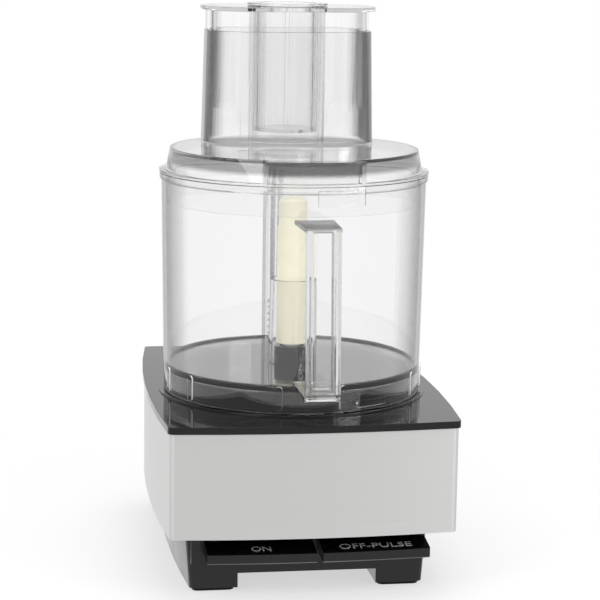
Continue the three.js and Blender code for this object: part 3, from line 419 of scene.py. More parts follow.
def addSheen(nodes, links, shader, place, spot, sheen):
    # painted highlight: the sides of the ribs round the bowl's foot are turned from clear to nearly opaque white,
    # so that the lamps light them as bright lines
    radius = (high("work_bowl", "x") - sheen["inset"]) * millimetre
    height = (low("bowl_chimney", "z") + sheen["rise"]) * millimetre
    edge = radius + sheen["out"] * millimetre
    soft = sheen["soft"] * millimetre
    level = addVector(nodes, links, "MULTIPLY", place.outputs["Object"], (1, 1, 0))
    out = addVector(nodes, links, "SUBTRACT", level.outputs[0], (0, axisY, 0))
    away = addVector(nodes, links, "NORMALIZE", out.outputs[0])
    facing = addVector(nodes, links, "DOT_PRODUCT", away.outputs[0], place.outputs["Normal"])
    turned = addMath(nodes, links, "ABSOLUTE", facing.outputs["Value"], 0)
    side = addRange(nodes, links, turned, sheen["turned"], (1, 0))
    length = addVector(nodes, links, "LENGTH", out.outputs[0]).outputs["Value"]
    outside = addRange(nodes, links, length, (radius, radius + soft), (0, 1))
    inside = addRange(nodes, links, length, (edge, edge + soft), (1, 0))
    below = addRange(nodes, links, spot.outputs["Z"], (height, height + millimetre), (1, 0))
    share = side
    for limit in (outside, inside, below):
        share = addMath(nodes, links, "MULTIPLY", share, limit)
    clearness = addRange(nodes, links, share, (0, 1), (1, sheen["highlightClearness"]))
    links.new(clearness, shader.inputs["Transmission Weight"])


def clearPlastic(name, look):
    # clear moulding with faint flow marks: thick stretches are greyer, and its shadow lets light through;
    # its colour is darkened with painted shade where it is seen edge on, and in a band between two heights
    material, nodes, links, shader = startMaterial(name)
    shader.inputs["IOR"].default_value = look["ior"]
    place = nodes.new("ShaderNodeTexCoord")
    spot = nodes.new("ShaderNodeSeparateXYZ")
    links.new(place.outputs["Object"], spot.inputs[0])
    # painted shade: the colour goes dark where the surface is seen edge on
    facing = nodes.new("ShaderNodeLayerWeight")
    facing.inputs["Blend"].default_value = look["edgeBlend"]
    edge = addRange(nodes, links, facing.outputs["Facing"], look["edge"], (0, 1))
    start, bandBottom, bandTop = (height * millimetre for height in (look["edgeFrom"], *look["band"]))
    above = addRange(nodes, links, spot.outputs["Z"], (start, start + millimetre), (0, 1))
    edgeShade = addMath(nodes, links, "MULTIPLY", edge, above)
    clear = addMix(nodes, links, edgeShade, look["colour"], look["edgeShadeColour"])
    # painted shade: a darker band between two heights
    bandFull = bandBottom + look["bandFade"] * millimetre
    rise = addRange(nodes, links, spot.outputs["Z"], (bandBottom, bandFull), (0, 1))
    fall = addRange(nodes, links, spot.outputs["Z"], (bandTop, bandTop + millimetre), (1, 0))
    bandShade = addMath(nodes, links, "MULTIPLY", rise, fall)
    links.new(addMix(nodes, links, bandShade, clear, look["bandShadeColour"]), shader.inputs["Base Color"])
    shader.inputs["Transmission Weight"].default_value = look["clearness"]
    if look["sheen"]:
        addSheen(nodes, links, shader, place, spot, look["sheen"])
    shader.inputs["Roughness"].default_value = 0
    flow = addPattern(nodes, links, "ShaderNodeTexNoise", look["flow"], look["flowStretch"], 2)
    addRelief(nodes, links, shader, flow, look["relief"])
    rays = nodes.new("ShaderNodeLightPath")
    through = nodes.new("ShaderNodeBsdfTransparent")
    through.inputs["Color"].default_value = look["shadow"]
    mix = nodes.new("ShaderNodeMixShader")
    links.new(rays.outputs["Is Shadow Ray"], mix.inputs[0])
    links.new(shader.outputs[0], mix.inputs[1])
    links.new(through.outputs[0], mix.inputs[2])
    output = nodes["Material Output"]
    links.new(mix.outputs[0], output.inputs["Surface"])
    body = nodes.new("ShaderNodeVolumeAbsorption")
    body.inputs["Color"].default_value = look["body"]
    body.inputs["Density"].default_value = look["density"]
    links.new(body.outputs[0], output.inputs["Volume"])
    return material


clearLook = {
    "colour": (0.99, 0.99, 0.99, 1), "ior": 1.5, "flow": 45, "relief": 0.006,
    "shadow": (0.99, 0.99, 0.99, 1), "body": (0.5, 0.505, 0.505, 1), "density": 26,
    # the edge colour is painted shade where the surface is seen edge on
    "edge": (0.42, 0.85), "edgeShadeColour": (0.03, 0.03, 0.03, 1), "edgeFrom": 0, "clearness": 1,
    # the band's colour is painted shade between two heights; none here
    "band": (0, 0), "bandFade": 3, "bandShadeColour": (0.4, 0.4, 0.4, 1), "sheen": None,
    "edgeBlend": 0.5, "flowStretch": (1, 1, 0.35),
}
clearBowl = clearPlastic("clear_bowl", {
    **clearLook,
    # painted highlight: the ribs' sides turn nearly opaque white, and the lamps light them as bright lines
    "sheen": {"inset": 3.15, "out": 1.3, "rise": 2, "highlightClearness": 0.05, "soft": 0.1, "turned": (0.6, 0.95)},
})
clearCover = clearPlastic("clear_cover", {
    # painted shade at the feed tube's edges
    **clearLook, "edge": (0.12, 0.55), "edgeShadeColour": (0.02, 0.02, 0.02, 1),
    "edgeFrom": high("cover_lid", "z") + 1,  # the feed tube alone
    # painted shade: a darker band round the lid below its top edge
    "clearness": 0.97, "band": (high("cover_lid", "z") - 11, high("cover_lid", "z") - 1.2),
})
clearPusher = clearPlastic("clear_pusher", {
    # painted shade at the edges, lighter
    **clearLook, "edge": (0.3, 0.85), "edgeShadeColour": (0.4, 0.4, 0.4, 1), "density": 14,
})


def brushedSteel(name, look):
    # fine level brush lines: they stretch the highlights upwards
    material, nodes, links, shader = startMaterial(name)
    shader.inputs["Metallic"].default_value = 1
    shader.inputs["Anisotropic"].default_value = look["anisotropy"]
    stretch = (look["along"], look["along"], look["lines"])
    lines = addPattern(nodes, links, "ShaderNodeTexNoise", 1, stretch, 4)
    varyColour(nodes, links, shader, lines, look["colour"], look["other"])
    varyRoughness(nodes, links, shader, lines, look["roughness"])
    addRelief(nodes, links, shader, lines, look["relief"])
    upright = nodes.new("ShaderNodeTangent")
    upright.direction_type = "RADIAL"
    upright.axis = "Z"
    links.new(upright.outputs[0], shader.inputs["Tangent"])
    shader.inputs["Anisotropic Rotation"].default_value = look["rotation"]
    return material


stainless = brushedSteel("brushed_steel", {
    "colour": (0.56, 0.56, 0.555), "other": (0.62, 0.62, 0.615), "roughness": (0.34, 0.40),
    "anisotropy": 0.75, "rotation": 0.25, "along": 6, "lines": 1600, "relief": 0.0015,
})
glossBlack = mouldedPlastic("gloss_black", {
    "colour": (0.002, 0.002, 0.0022), "other": (0.004, 0.004, 0.0042), "roughness": (0.04, 0.09),
    "grain": 300, "relief": 0.002, "ior": 1.38,
})
satinBlack = mouldedPlastic("satin_black", {
    "colour": (0.003, 0.003, 0.0032), "other": (0.006, 0.006, 0.0062), "roughness": (0.16, 0.24),
    "grain": 1800, "relief": 0.01, "ior": 1.42,
})
rubberBlack = mouldedPlastic("rubber_black", {
    "colour": (0.006, 0.006, 0.006), "other": (0.012, 0.012, 0.012), "roughness": (0.7, 0.85),
    "grain": 900, "relief": 0.03, "ior": 1.3,
})
ivory = mouldedPlastic("ivory_plastic", {
    "colour": (0.88, 0.83, 0.62), "other": (0.92, 0.88, 0.70), "roughness": (0.25, 0.38), "grain": 500,
})
whiteInk = mouldedPlastic("white_ink", {
    "colour": (0.86, 0.86, 0.86), "other": (0.92, 0.92, 0.92), "roughness": (0.4, 0.55), "grain": 2500,
})
switchBlack = mouldedPlastic("switch_plastic", {
    "colour": (0.014, 0.014, 0.016), "other": (0.022, 0.022, 0.026), "roughness": (0.5, 0.62),
})
switchWhite = mouldedPlastic("switch_button", {
    "colour": (0.70, 0.70, 0.66), "other": (0.78, 0.78, 0.74), "roughness": (0.4, 0.52),
})
boardGreen = mouldedPlastic("board_green", {
    "colour": (0.018, 0.10, 0.040), "other": (0.030, 0.14, 0.060), "roughness": (0.35, 0.5), "patch": 220,
})
capacitorGrey = mouldedPlastic("capacitor_grey", {
    "colour": (0.24, 0.25, 0.27), "other": (0.30, 0.31, 0.33), "roughness": (0.42, 0.55),
})


def turnedMetal(name, look):
    # bright metal with fine turning marks round its upright axis
    material, nodes, links, shader = startMaterial(name)
    shader.inputs["Metallic"].default_value = 1
    rings = addPattern(nodes, links, "ShaderNodeTexNoise", 1, look["stretch"], 3)
    varyColour(nodes, links, shader, rings, look["colour"], look["other"])
    varyRoughness(nodes, links, shader, rings, look["roughness"])
    addRelief(nodes, links, shader, rings, look["relief"])
    return material


steel = turnedMetal("bright_steel", {
    "colour": (0.50, 0.51, 0.52), "other": (0.62, 0.63, 0.64), "roughness": (0.22, 0.36),
    "stretch": (60, 60, 2200), "relief": 0.006,
})
laminate = turnedMetal("steel_sheets", {
    "colour": (0.10, 0.105, 0.11), "other": (0.26, 0.27, 0.28), "roughness": (0.4, 0.6),
    "stretch": (8, 8, 1900), "relief": 0.08,
})
castAlloy = turnedMetal("cast_alloy", {
    "colour": (0.42, 0.43, 0.44), "other": (0.54, 0.55, 0.56), "roughness": (0.42, 0.6),
    "stretch": (700, 700, 700), "relief": 0.05,
})


def enamelledWire(name, look):
    # turns of enamelled wire: level bands, a wire apart
    material, nodes, links, shader = startMaterial(name)
    shader.inputs["Metallic"].default_value = 1
    turns = addPattern(nodes, links, "ShaderNodeTexWave", look["turns"], look["stretch"], 2)
    nodes["Wave Texture"].bands_direction = "Z"
    nodes["Wave Texture"].inputs["Distortion"].default_value = look["waver"]
    varyColour(nodes, links, shader, turns, look["colour"], look["other"])
    varyRoughness(nodes, links, shader, turns, look["roughness"])
    addRelief(nodes, links, shader, turns, look["relief"])
    return material


copper = enamelledWire("copper_wire", {
    "colour": (0.20, 0.06, 0.022), "other": (0.52, 0.19, 0.075), "turns": 380, "relief": 0.25,
    "stretch": (0.15, 0.15, 1), "waver": 1.2, "roughness": (0.5, 0.3),
})
print("stage: finishes")


bowl = {
    "wall": 2.6, "flare": 2, "beadHeight": 4, "beadOut": 1.3, "beadChamfer": 0.7,
    "floorThick": 2.6, "floorFillet": 2.4, "chimneyWall": 2.4, "chimneyDraft": 0.6, "chimneyFoot": 1,
    "edge": 0.45, "steps": 144,
}
bowlBottom, rimTop = low("work_bowl", "z"), high("work_bowl", "z")
bowlFloor, chimneyTop = low("bowl_chimney", "z"), high("bowl_chimney", "z")
beadRadius = high("work_bowl", "x")
rimRadius = beadRadius - bowl["beadOut"]
skirtRadius = rimRadius - bowl["flare"]
chimneyRadius = high("bowl_chimney", "x") - bowl["chimneyFoot"]


def wallRadius(height):
    share = (height - bowlBottom) / (rimTop - bowl["beadHeight"] - bowlBottom)
    return skirtRadius + bowl["flare"] * share


def makeBowlShell():
    wall, fillet = bowl["wall"], bowl["floorFillet"]
    floorEdge = wallRadius(bowlFloor) - wall
    chimneyInside = chimneyRadius - bowl["chimneyWall"] + bowl["chimneyDraft"]
    wallFoot = rimTop - bowl["beadHeight"]
    floorUnder = bowlFloor - bowl["floorThick"]
    curve = [
        (floorEdge - fillet * (1 - math.cos(turn)), bowlFloor + fillet * (1 - math.sin(turn)))
        for turn in (math.radians(step) for step in (0, 22.5, 45, 67.5, 90))
    ]
    profile = [
        (skirtRadius - wall, bowlBottom), (skirtRadius, bowlBottom),
        (rimRadius, wallFoot - bowl["beadChamfer"]), (beadRadius, wallFoot), (beadRadius, rimTop),
        (rimRadius - wall, rimTop), *curve,
        (chimneyRadius, bowlFloor), (chimneyRadius - bowl["chimneyDraft"], chimneyTop),
        (chimneyInside - 2 * bowl["chimneyDraft"], chimneyTop), (chimneyInside, floorUnder),
        (skirtRadius - wall, floorUnder), (skirtRadius - wall, bowlBottom),
    ]
    shell = spinProfile("bowl", profile, bowl["steps"])
    roundEdges(shell, bowl["edge"])
    return shell


ribs = {"angles": (14, 58, 78), "width": 5, "out": 1.2, "rise": 1.3, "foot": 1.5, "into": 1.3, "edge": 0.5}


def makeRib(angle):
    # an upright bar with round ends, drawn at the front and turned to its place
    half = ribs["width"] / 2
    bottom, top = bowlBottom + ribs["foot"] + half, bowlFloor + ribs["rise"] - half
    face = -skirtRadius + ribs["into"]
    turns = [math.pi * step / 8 for step in range(9)]
    outline = [(half * math.cos(turn), face, top + half * math.sin(turn)) for turn in turns]
    outline += [(-half * math.cos(turn), face, bottom - half * math.sin(turn)) for turn in turns]
    rib = pullOutline("rib", outline, (0, -ribs["into"] - ribs["out"], 0))
    roundEdges(rib, ribs["edge"])
    turnPiece(rib, angle)
    return rib


locks = {"count": 3, "span": 16, "thick": 4.5, "gap": 1.5, "baseThick": 3.5, "reach": 1, "edge": 0.4}
seat = {"radius": 81, "underFloor": 4.9, "lockDrop": 1}  # the drum that the bowl fits over
drumTop, drumRadius = bowlFloor - seat["underFloor"], seat["radius"]


def makeArc(name, outer, inner, bottom, top, start, end, edge, steps=6):
    # a piece of a ring; degrees from the front, positive to the right
    def place(radius, degrees):
        return radius * math.sin(math.radians(degrees)), -radius * math.cos(math.radians(degrees)), bottom

    angles = [start + (end - start) * step / steps for step in range(steps + 1)]
    outline = [place(outer, degrees) for degrees in angles]
    outline += [place(inner, degrees) for degrees in reversed(angles)]
    piece = pullOutline(name, outline, (0, 0, top - bottom))
    roundEdges(piece, edge)
    return piece


def lockAngles():
    return [-90 + 360 / locks["count"] * number for number in range(locks["count"])]


def makeBowlLocks():
    top = drumTop - seat["lockDrop"] - locks["baseThick"] - locks["gap"]
    half = locks["span"] / 2
    outer, inner = skirtRadius - bowl["wall"] / 2, drumRadius + locks["reach"]
    return [
        makeArc("bowl_lock", outer, inner, top - locks["thick"], top, angle - half, angle + half, locks["edge"])
        for angle in lockAngles()
    ]


handle = {
    "half": 11.5, "rootHalf": 12.9, "lean": 7, "thick": 2.9, "armRise": 1.9, "depth": 12, "taper": 2,
    "wall": 4.8, "front": 2.4, "floor": 7, "corner": 3, "edge": 0.5, "inner": 0.9, "into": 1.3, "outer": 1.6,
    "bevelOver": 30, "cutPast": 5,
}


def planPoints(near, nearHalf, far, farHalf, height):
    return [(-nearHalf, near, height), (nearHalf, near, height), (farHalf, far, height), (-farHalf, far, height)]


def leanBack(piece, bottom, top):
    # slides each point back with its height, by the handle's lean over its whole height
    for vertex in piece.data.vertices:
        share = (vertex.co.z / millimetre - bottom) / (top - bottom)
        vertex.co.y += handle["lean"] * share * millimetre


def makeHandle():
    front, top, bottom = low("bowl_handle", "y"), high("bowl_handle", "z"), low("bowl_handle", "z")
    half, thick, corner = handle["half"], handle["thick"], handle["corner"]
    root = -skirtRadius + handle["into"]
    gripBack = front + handle["depth"]
    grip = pullOutline(
        "grip", planPoints(front, half, gripBack, half - handle["taper"], bottom), (0, 0, top - bottom))
    leanBack(grip, bottom, top)
    cutFront, cutFoot = front - handle["cutPast"], bottom - handle["cutPast"]
    foot = [(cutFront, cutFoot), (cutFront, bottom + corner), (front, bottom + corner),
            (front + corner, bottom), (front + corner, cutFoot)]
    footCut = pullOutline("foot", [(-half - past, y, z) for y, z in foot], (2 * (half + past), 0, 0))
    combine(grip, [footCut], "DIFFERENCE")
    roundEdges(grip, handle["outer"], 4, handle["bevelOver"])
    inner = half - handle["wall"]
    hollow = pullOutline(
        "hollow", planPoints(front + handle["front"], inner, gripBack + past, inner, bottom + handle["floor"]),
        (0, 0, top - thick - bottom - handle["floor"]))
    leanBack(hollow, bottom, top)
    roundEdges(hollow, handle["inner"])
    topFront = front + handle["lean"]
    upperArm = pullOutline(
        "upper_arm", planPoints(topFront, half, root, handle["rootHalf"], top - thick), (0, 0, thick))
    lowerSide = [(front + corner, bottom), (root, bottom + handle["armRise"]),
                 (root, bottom + handle["armRise"] + thick), (front + corner, bottom + thick)]
    lowerArm = pullOutline(
        "lower_arm", [(-half - 3, y, z) for y, z in lowerSide], (2 * half + 6, 0, 0))
    sides = pullOutline(
        "sides", planPoints(front, half, root, handle["rootHalf"], bottom - 2), (0, 0, 20))
    combine(lowerArm, [sides], "INTERSECT")
    for arm in (upperArm, lowerArm):
        roundEdges(arm, handle["edge"], 2, handle["bevelOver"])
    combine(grip, [hollow], "DIFFERENCE")
    return combine(grip, [upperArm, lowerArm])


channel = {"half": 6.25, "wall": 2, "bore": 2.5, "edge": 0.4, "into": 1.3}


def makeRodChannel():
    back, bottom, top = high("rod_channel", "y"), low("rod_channel", "z"), high("rod_channel", "z")
    half, wall = channel["half"], channel["wall"]
    body = pullBlock("channel", (-half, wallRadius(bottom) - channel["into"], bottom), (half, back, top))
    roundEdges(body, channel["edge"])
    rodY = (low("interlock_rod", "y") + high("interlock_rod", "y")) / 2
    hollow = pullBlock(
        "hollow", (wall - half, beadRadius + past, bottom + wall), (half - wall, back - wall, top + past))
    bore = spinProfile("bore", [
        (0, bottom - past), (channel["bore"], bottom - past), (channel["bore"], bottom + wall + past),
        (0, bottom + wall + past)], 32, (0, rodY))
    return combine(body, [hollow, bore], "DIFFERENCE")


def trimInside(piece, bottom, top):
    # takes away what would stand inside the bowl's wall
    core = spinProfile("core", [
        (0, bottom), (wallRadius(bottom) - handle["into"], bottom), (wallRadius(top) - handle["into"], top),
        (0, top)], bowl["steps"])
    return combine(piece, [core], "DIFFERENCE")


def makeBowl():
    shell = makeBowlShell()
    sides = [makeRib(sign * angle) for angle in ribs["angles"] for sign in (-1, 1)]
    grip = trimInside(makeHandle(), low("bowl_handle", "z") - 5, high("bowl_handle", "z") + 5)
    rodGuide = trimInside(makeRodChannel(), low("rod_channel", "z") - 2, rimTop - bowl["beadHeight"] - 0.01)
    combine(shell, sides + makeBowlLocks() + [grip, rodGuide])
    finish(shell, "bowl", clearBowl, ("work_bowl", "bowl_chimney", "bowl_handle", "rod_channel"))


makeBowl()
print("stage: bowl")


cover = {
    "plate": 2.5, "slope": 2.9, "footGap": 0.2, "seatGap": 0.3, "flange": 1.6, "flangeOver": 0.4,
    "skirtGap": 1, "skirtWall": 2, "edge": 0.45, "steps": 144,
}
lidTop, coverLow = high("cover_lid", "z"), low("cover_lid", "z")
lidFoot = rimRadius - bowl["wall"] - cover["footGap"]
lidRadius = lidFoot - cover["slope"]
flangeUnder = rimTop + cover["seatGap"]
flangeUpper = flangeUnder + cover["flange"]
flangeEdge = beadRadius + cover["flangeOver"]


def makeLid():
    skirtOuter = rimRadius - bowl["wall"] - cover["skirtGap"]
    skirtInner = skirtOuter - cover["skirtWall"]
    plate = cover["plate"]
    lid = spinProfile("cover", [
        (skirtOuter, coverLow), (skirtOuter, flangeUnder), (flangeEdge, flangeUnder), (flangeEdge, flangeUpper),
        (lidFoot, flangeUpper), (lidRadius, lidTop), (0, lidTop), (0, lidTop - plate),
        (lidRadius - plate, lidTop - plate), (skirtInner, flangeUpper), (skirtInner, coverLow),
        (skirtOuter, coverLow)], cover["steps"])
    roundEdges(lid, cover["edge"])
    return lid


tab = {
    "out": 2.5, "wall": 2, "left": -20.5, "right": 21, "step": 1, "side": 1.5, "clear": 0.8,
    "depth": 3, "dropDepth": 12, "edge": 0.4,
}


def makeFrontTab():
    outer, inner = beadRadius + tab["out"], beadRadius + tab["clear"]
    left, right, side = tab["left"], tab["right"], tab["side"]
    bottom = rimTop - tab["depth"]
    cap = makeArc("tab", outer, lidRadius - 2, flangeUpper - 1, lidTop, left, right, tab["edge"], 12)
    hollow = makeArc("hollow", outer - tab["wall"], lidFoot + 0.3, flangeUpper - 2, lidTop - tab["wall"],
                     left + side, right - side, 0.3, 12)
    combine(cap, [hollow], "DIFFERENCE")
    apron = makeArc("apron", outer, inner, bottom, flangeUpper, left, right, tab["edge"], 12)
    drop = makeArc("drop", outer, inner, rimTop - tab["dropDepth"], bottom + 1, tab["step"], right, tab["edge"], 6)
    return [cap, apron, drop]


tube = {
    "wall": 3, "draft": 2, "front": -1, "back": 69, "frontCorner": 30, "backCorner": 25, "edge": 0.7, "steps": 14,
}
tubeTop = high("feed_tube", "z")
tubeHalf = high("feed_tube", "x") - tube["draft"]
tubeFront, tubeBack = tube["front"], tube["back"]
tubeMiddle = (tubeFront + tubeBack) / 2


def ovalPoints(grow, height, spread=0):
    # an oval with a nearly flat front and back; spread leans each point out from the middle
    half, front, back = tubeHalf + grow, tubeFront - grow, tubeBack + grow
    near, far = tube["frontCorner"] + grow, tube["backCorner"] + grow
    corners = [
        (half - near, front + near, near, -90), (half - far, back - far, far, 0),
        (far - half, back - far, far, 90), (near - half, front + near, near, 180),
    ]
    points = []
    for x, y, radius, start in corners:
        for step in range(tube["steps"] + 1):
            turn = math.radians(start + 90 * step / tube["steps"])
            point = Vector((x + radius * math.cos(turn), y + radius * math.sin(turn), 0))
            away = (point - Vector((0, tubeMiddle, 0))).normalized() * spread
            points.append((point.x + away.x, point.y + away.y, height))
    return points


def pullOval(name, grow, bottom, top, lean=0):
    # an upright oval block, whose foot stands out by lean
    piece = pullOutline(name, ovalPoints(grow, bottom, lean), (0, 0, top - bottom))
    if lean:
        upper = ovalPoints(grow, top)
        for number, vertex in enumerate(piece.data.vertices):
            if vertex.co.z > (bottom + top) / 2 * millimetre:
                near = min(upper, key=lambda spot: (Vector(spot) * millimetre - vertex.co).length)
                vertex.co = Vector(near) * millimetre
    return piece


def makeTube():
    lean = tube["draft"] * (tubeTop - lidTop) / (tubeTop - high("cover_lid", "z"))
    outside = pullOval("tube", 0, lidTop - past, tubeTop, lean)
    roundEdges(outside, tube["edge"])
    return outside


def makeTubeHollow():
    extra = 20  # well below the lid
    lean = tube["draft"] * (tubeTop - lidTop + extra) / (tubeTop - lidTop)
    return pullOval("hollow", -tube["wall"], lidTop - extra, tubeTop + past, lean)


def makeRodTab():
    angle = math.degrees(math.asin(high("rod_tab", "x") / high("rod_tab", "y")))
    return makeArc("rod_tab", high("rod_tab", "y") + 0.15, flangeEdge - 1, flangeUnder, flangeUpper,
                   180 - angle, 180 + angle, 0.3, 4)


def makeCover():
    lid = makeLid()
    combine(lid, makeFrontTab() + [makeRodTab(), makeTube()])
    combine(lid, [makeTubeHollow()], "DIFFERENCE")
    finish(lid, "cover", clearCover, ("cover_lid", "rod_tab", "feed_tube"))


makeCover()
print("stage: cover")


pusher = {
    "flange": 2.8, "plate": 2.5, "out": 2.7, "gap": 0.5, "wall": 2.2, "frontDepth": 90.2, "backDepth": 83.2,
    "notchDepth": 67.9, "notchFront": 36, "notchBack": 32.5, "notchCorner": 5,
    "tubeRadius": 26, "tubeWall": 2.5, "tubeDepth": 92.2, "tubeInset": 0.5,
    "postThick": 1.8, "postInset": 0.6, "postFront": 7, "postBack": 5, "edge": 0.45, "steps": 96,
    "cutHalf": 80, "cutFront": -40, "cutBack": 90,  # the reach of the blocks that cut the shell
}
pusherTop = high("large_pusher", "z")
pusherMiddle = tubeBack - tube["wall"] - pusher["gap"] - pusher["tubeInset"] - pusher["tubeRadius"]


def roundPost(name, radius, bottom, top, edge=0):
    profile = [(0, bottom), (radius, bottom), (radius, top), (0, top)]
    piece = spinProfile(name, profile, pusher["steps"], (0, pusherMiddle))
    if edge:
        roundEdges(piece, edge)
    return piece


def makeNotch(side, half, front, back):
    # the block that is cut away beside the shell's lower edge, with a rounded upper inner corner
    top, corner = pusherTop - pusher["notchDepth"], pusher["notchCorner"]
    bottom = pusherTop - pusher["frontDepth"] - 1
    far = tubeHalf + 20
    curve = [
        (half + corner * (1 - math.cos(turn)), top - corner * (1 - math.sin(turn)))
        for turn in (math.radians(step) for step in range(0, 91, 15))
    ]
    outline = [(side * x, front, z) for x, z in [(half, bottom), *curve, (far, top), (far, bottom)]]
    return pullOutline("notch", outline, (0, back - front, 0))


def makeLargePusher():
    grow = -tube["wall"] - pusher["gap"]
    underFlange, shellFoot = pusherTop - pusher["flange"], pusherTop - pusher["frontDepth"]
    body = pullOval("large_pusher", pusher["out"], underFlange, pusherTop)
    roundEdges(body, pusher["edge"])
    shell = pullOval("shell", grow, shellFoot, pusherTop - pusher["plate"] + 1)
    hollow = pullOval("hollow", grow - pusher["wall"], shellFoot - past, pusherTop - pusher["plate"])
    combine(shell, [hollow], "DIFFERENCE")
    backCut = pullBlock(
        "cut", (-pusher["cutHalf"], tubeMiddle, shellFoot - past),
        (pusher["cutHalf"], pusher["cutBack"], pusherTop - pusher["backDepth"]))
    notches = [
        makeNotch(side, half, front, back)
        for half, front, back in (
            (pusher["notchFront"], pusher["cutFront"], tubeMiddle),
            (pusher["notchBack"], tubeMiddle - past, pusher["cutBack"]))
        for side in (-1, 1)
    ]
    combine(shell, [backCut] + notches, "DIFFERENCE")
    postOuter = tubeHalf - pusher["postInset"]
    posts = []
    postInner = postOuter - pusher["postThick"]
    for inner, outer in ((postInner, postOuter), (-postOuter, -postInner)):
        posts.append(pullBlock(
            "post", (inner, pusherMiddle - pusher["postFront"], tubeTop + cover["seatGap"]),
            (outer, pusherMiddle + pusher["postBack"], underFlange + 1)))
    foot = pusherTop - pusher["tubeDepth"]
    innerTube = roundPost("inner_tube", pusher["tubeRadius"], foot, pusherTop - 1, edge=pusher["edge"])
    combine(body, [shell, innerTube] + posts)
    combine(body, [roundPost("bore", pusher["tubeRadius"] - pusher["tubeWall"], foot - 1, pusherTop + 1)],
            "DIFFERENCE")
    finish(body, "large_pusher", clearPusher, ("large_pusher",))


makeLargePusher()

cup = {
    "capThick": 1.5, "wall": 2, "ribs": 6, "ribDepth": 1.8, "ribWidth": 2, "ribTurn": 15,
    "ribSink": 0.5, "ribEdge": 0.3, "gap": 0.5, "edge": 0.35, "steps": 96,
}


def makeSmallPusher():
    capRadius = high("small_pusher", "x")
    capTop = high("small_pusher", "z")
    capUnder = capTop - cup["capThick"]
    ribReach = pusher["tubeRadius"] - pusher["tubeWall"] - cup["gap"]
    radius = ribReach - cup["ribDepth"]
    foot = low("small_pusher", "z")
    inside = radius - cup["wall"]
    body = spinProfile("small_pusher", [
        (0, foot), (radius, foot), (radius, capUnder), (capRadius, capUnder), (capRadius, capTop),
        (inside, capTop), (inside, foot + cup["wall"]), (0, foot + cup["wall"])], cup["steps"], (0, pusherMiddle))
    roundEdges(body, cup["edge"])
    sideRibs = []
    for number in range(cup["ribs"]):
        half = cup["ribWidth"] / 2
        rib = pullBlock("rib", (radius - past, pusherMiddle - half, foot + cup["ribSink"]),
                        (ribReach, pusherMiddle + half, capUnder + cup["ribSink"]))
        roundEdges(rib, cup["ribEdge"])
        turnPiece(rib, 360 / cup["ribs"] * number + cup["ribTurn"], "Z", (0, pusherMiddle, 0))
        sideRibs.append(rib)
    combine(body, sideRibs)
    finish(body, "small_pusher", clearPusher, ("small_pusher",))


makeSmallPusher()
print("stage: pushers")


drum = {
    "wall": 3, "plate": 2.7, "towerWall": 3.4, "lockDepth": 2.4, "postSpread": 38, "postRadius": 6,
    "boreRadius": 2.3, "boreDepth": 14, "towerGap": 2, "lockEdge": 0.4, "edge": 0.6, "steps": 160,
}


def makeDrum():
    bottom, top, towerTop = low("drive_drum", "z"), drumTop, high("drive_drum", "z")
    towerRadius = chimneyRadius - bowl["chimneyWall"] - drum["towerGap"]
    inner, under = drumRadius - drum["wall"], drumTop - drum["plate"]
    bore = towerRadius - drum["towerWall"]
    body = spinProfile("drum", [
        (inner, bottom), (drumRadius, bottom), (drumRadius, top), (towerRadius, top), (towerRadius, towerTop),
        (bore, towerTop), (bore, under), (inner, under), (inner, bottom)], drum["steps"])
    roundEdges(body, drum["edge"])
    half = locks["span"] / 2
    lockTop = top - seat["lockDrop"]
    parts = [
        makeArc("lock", drumRadius + drum["lockDepth"], drumRadius - 1, lockTop - locks["baseThick"], lockTop,
                angle - half, angle + half, drum["lockEdge"])
        for angle in lockAngles()
    ]
    postFoot = high("rubber_mount_1", "z")
    for x in (-1, 1):
        for y in (-1, 1):
            place = (x * drum["postSpread"], y * drum["postSpread"])
            parts.append(spinProfile("post", [
                (0, postFoot), (drum["postRadius"], postFoot), (drum["postRadius"], under + 1), (0, under + 1)],
                24, place))
    combine(body, parts)
    boreFoot, boreTop = postFoot - past, postFoot + drum["boreDepth"]
    bores = [
        spinProfile("bore", [
            (0, boreFoot), (drum["boreRadius"], boreFoot), (drum["boreRadius"], boreTop), (0, boreTop)],
            20, (x * drum["postSpread"], y * drum["postSpread"]))
        for x in (-1, 1) for y in (-1, 1)
    ]
    combine(body, bores, "DIFFERENCE")
    finish(body, "base", glossBlack, ("drive_drum",))


makeDrum()

shells = {
    "base_housing": ("housing", glossBlack, "gloss_black", 0.7, 3),
    "wrap_panel": ("wrap_panel_skin", stainless, "stainless", 0.3, 2),
    "rear_cover": ("rear_cover_shell", satinBlack, "satin_black", 0.35, 2),
    "cord_gland": ("gland", rubberBlack, "rubber_black", 0.4, 2),
    "lower_base": ("lower_shell", satinBlack, "satin_black", 0.5, 2),
    "foot_front_left": ("pad_front_left", rubberBlack, "rubber_black", 0.5, 2),
    "foot_front_right": ("pad_front_right", rubberBlack, "rubber_black", 0.5, 2),
    "foot_back_left": ("pad_back_left", rubberBlack, "rubber_black", 0.5, 2),
    "foot_back_right": ("pad_back_right", rubberBlack, "rubber_black", 0.5, 2),
}
for node, (name, material, slot, edge, segments) in shells.items():
    finish(copyNode(name, node, edge, segments), "base", material, (node,))
print("stage: base")


lettering = {
    "lever_on": {"words": "ON", "width": 12.8},
    "lever_off": {"words": "OFF-PULSE", "width": 48},
}
letters = {"height": 5.8, "fromLip": 5.5, "proud": 0.08, "slope": (2.6, 16.7), "thick": 0.12,
           "drawn": 10, "lipRound": 0.8}
lip = {"bow": 5.5, "half": 93.5}  # the levers' lips follow the bow of the housing above them


def lipOut(x):
    return lip["bow"] * (1 - (x / lip["half"]) ** 2)


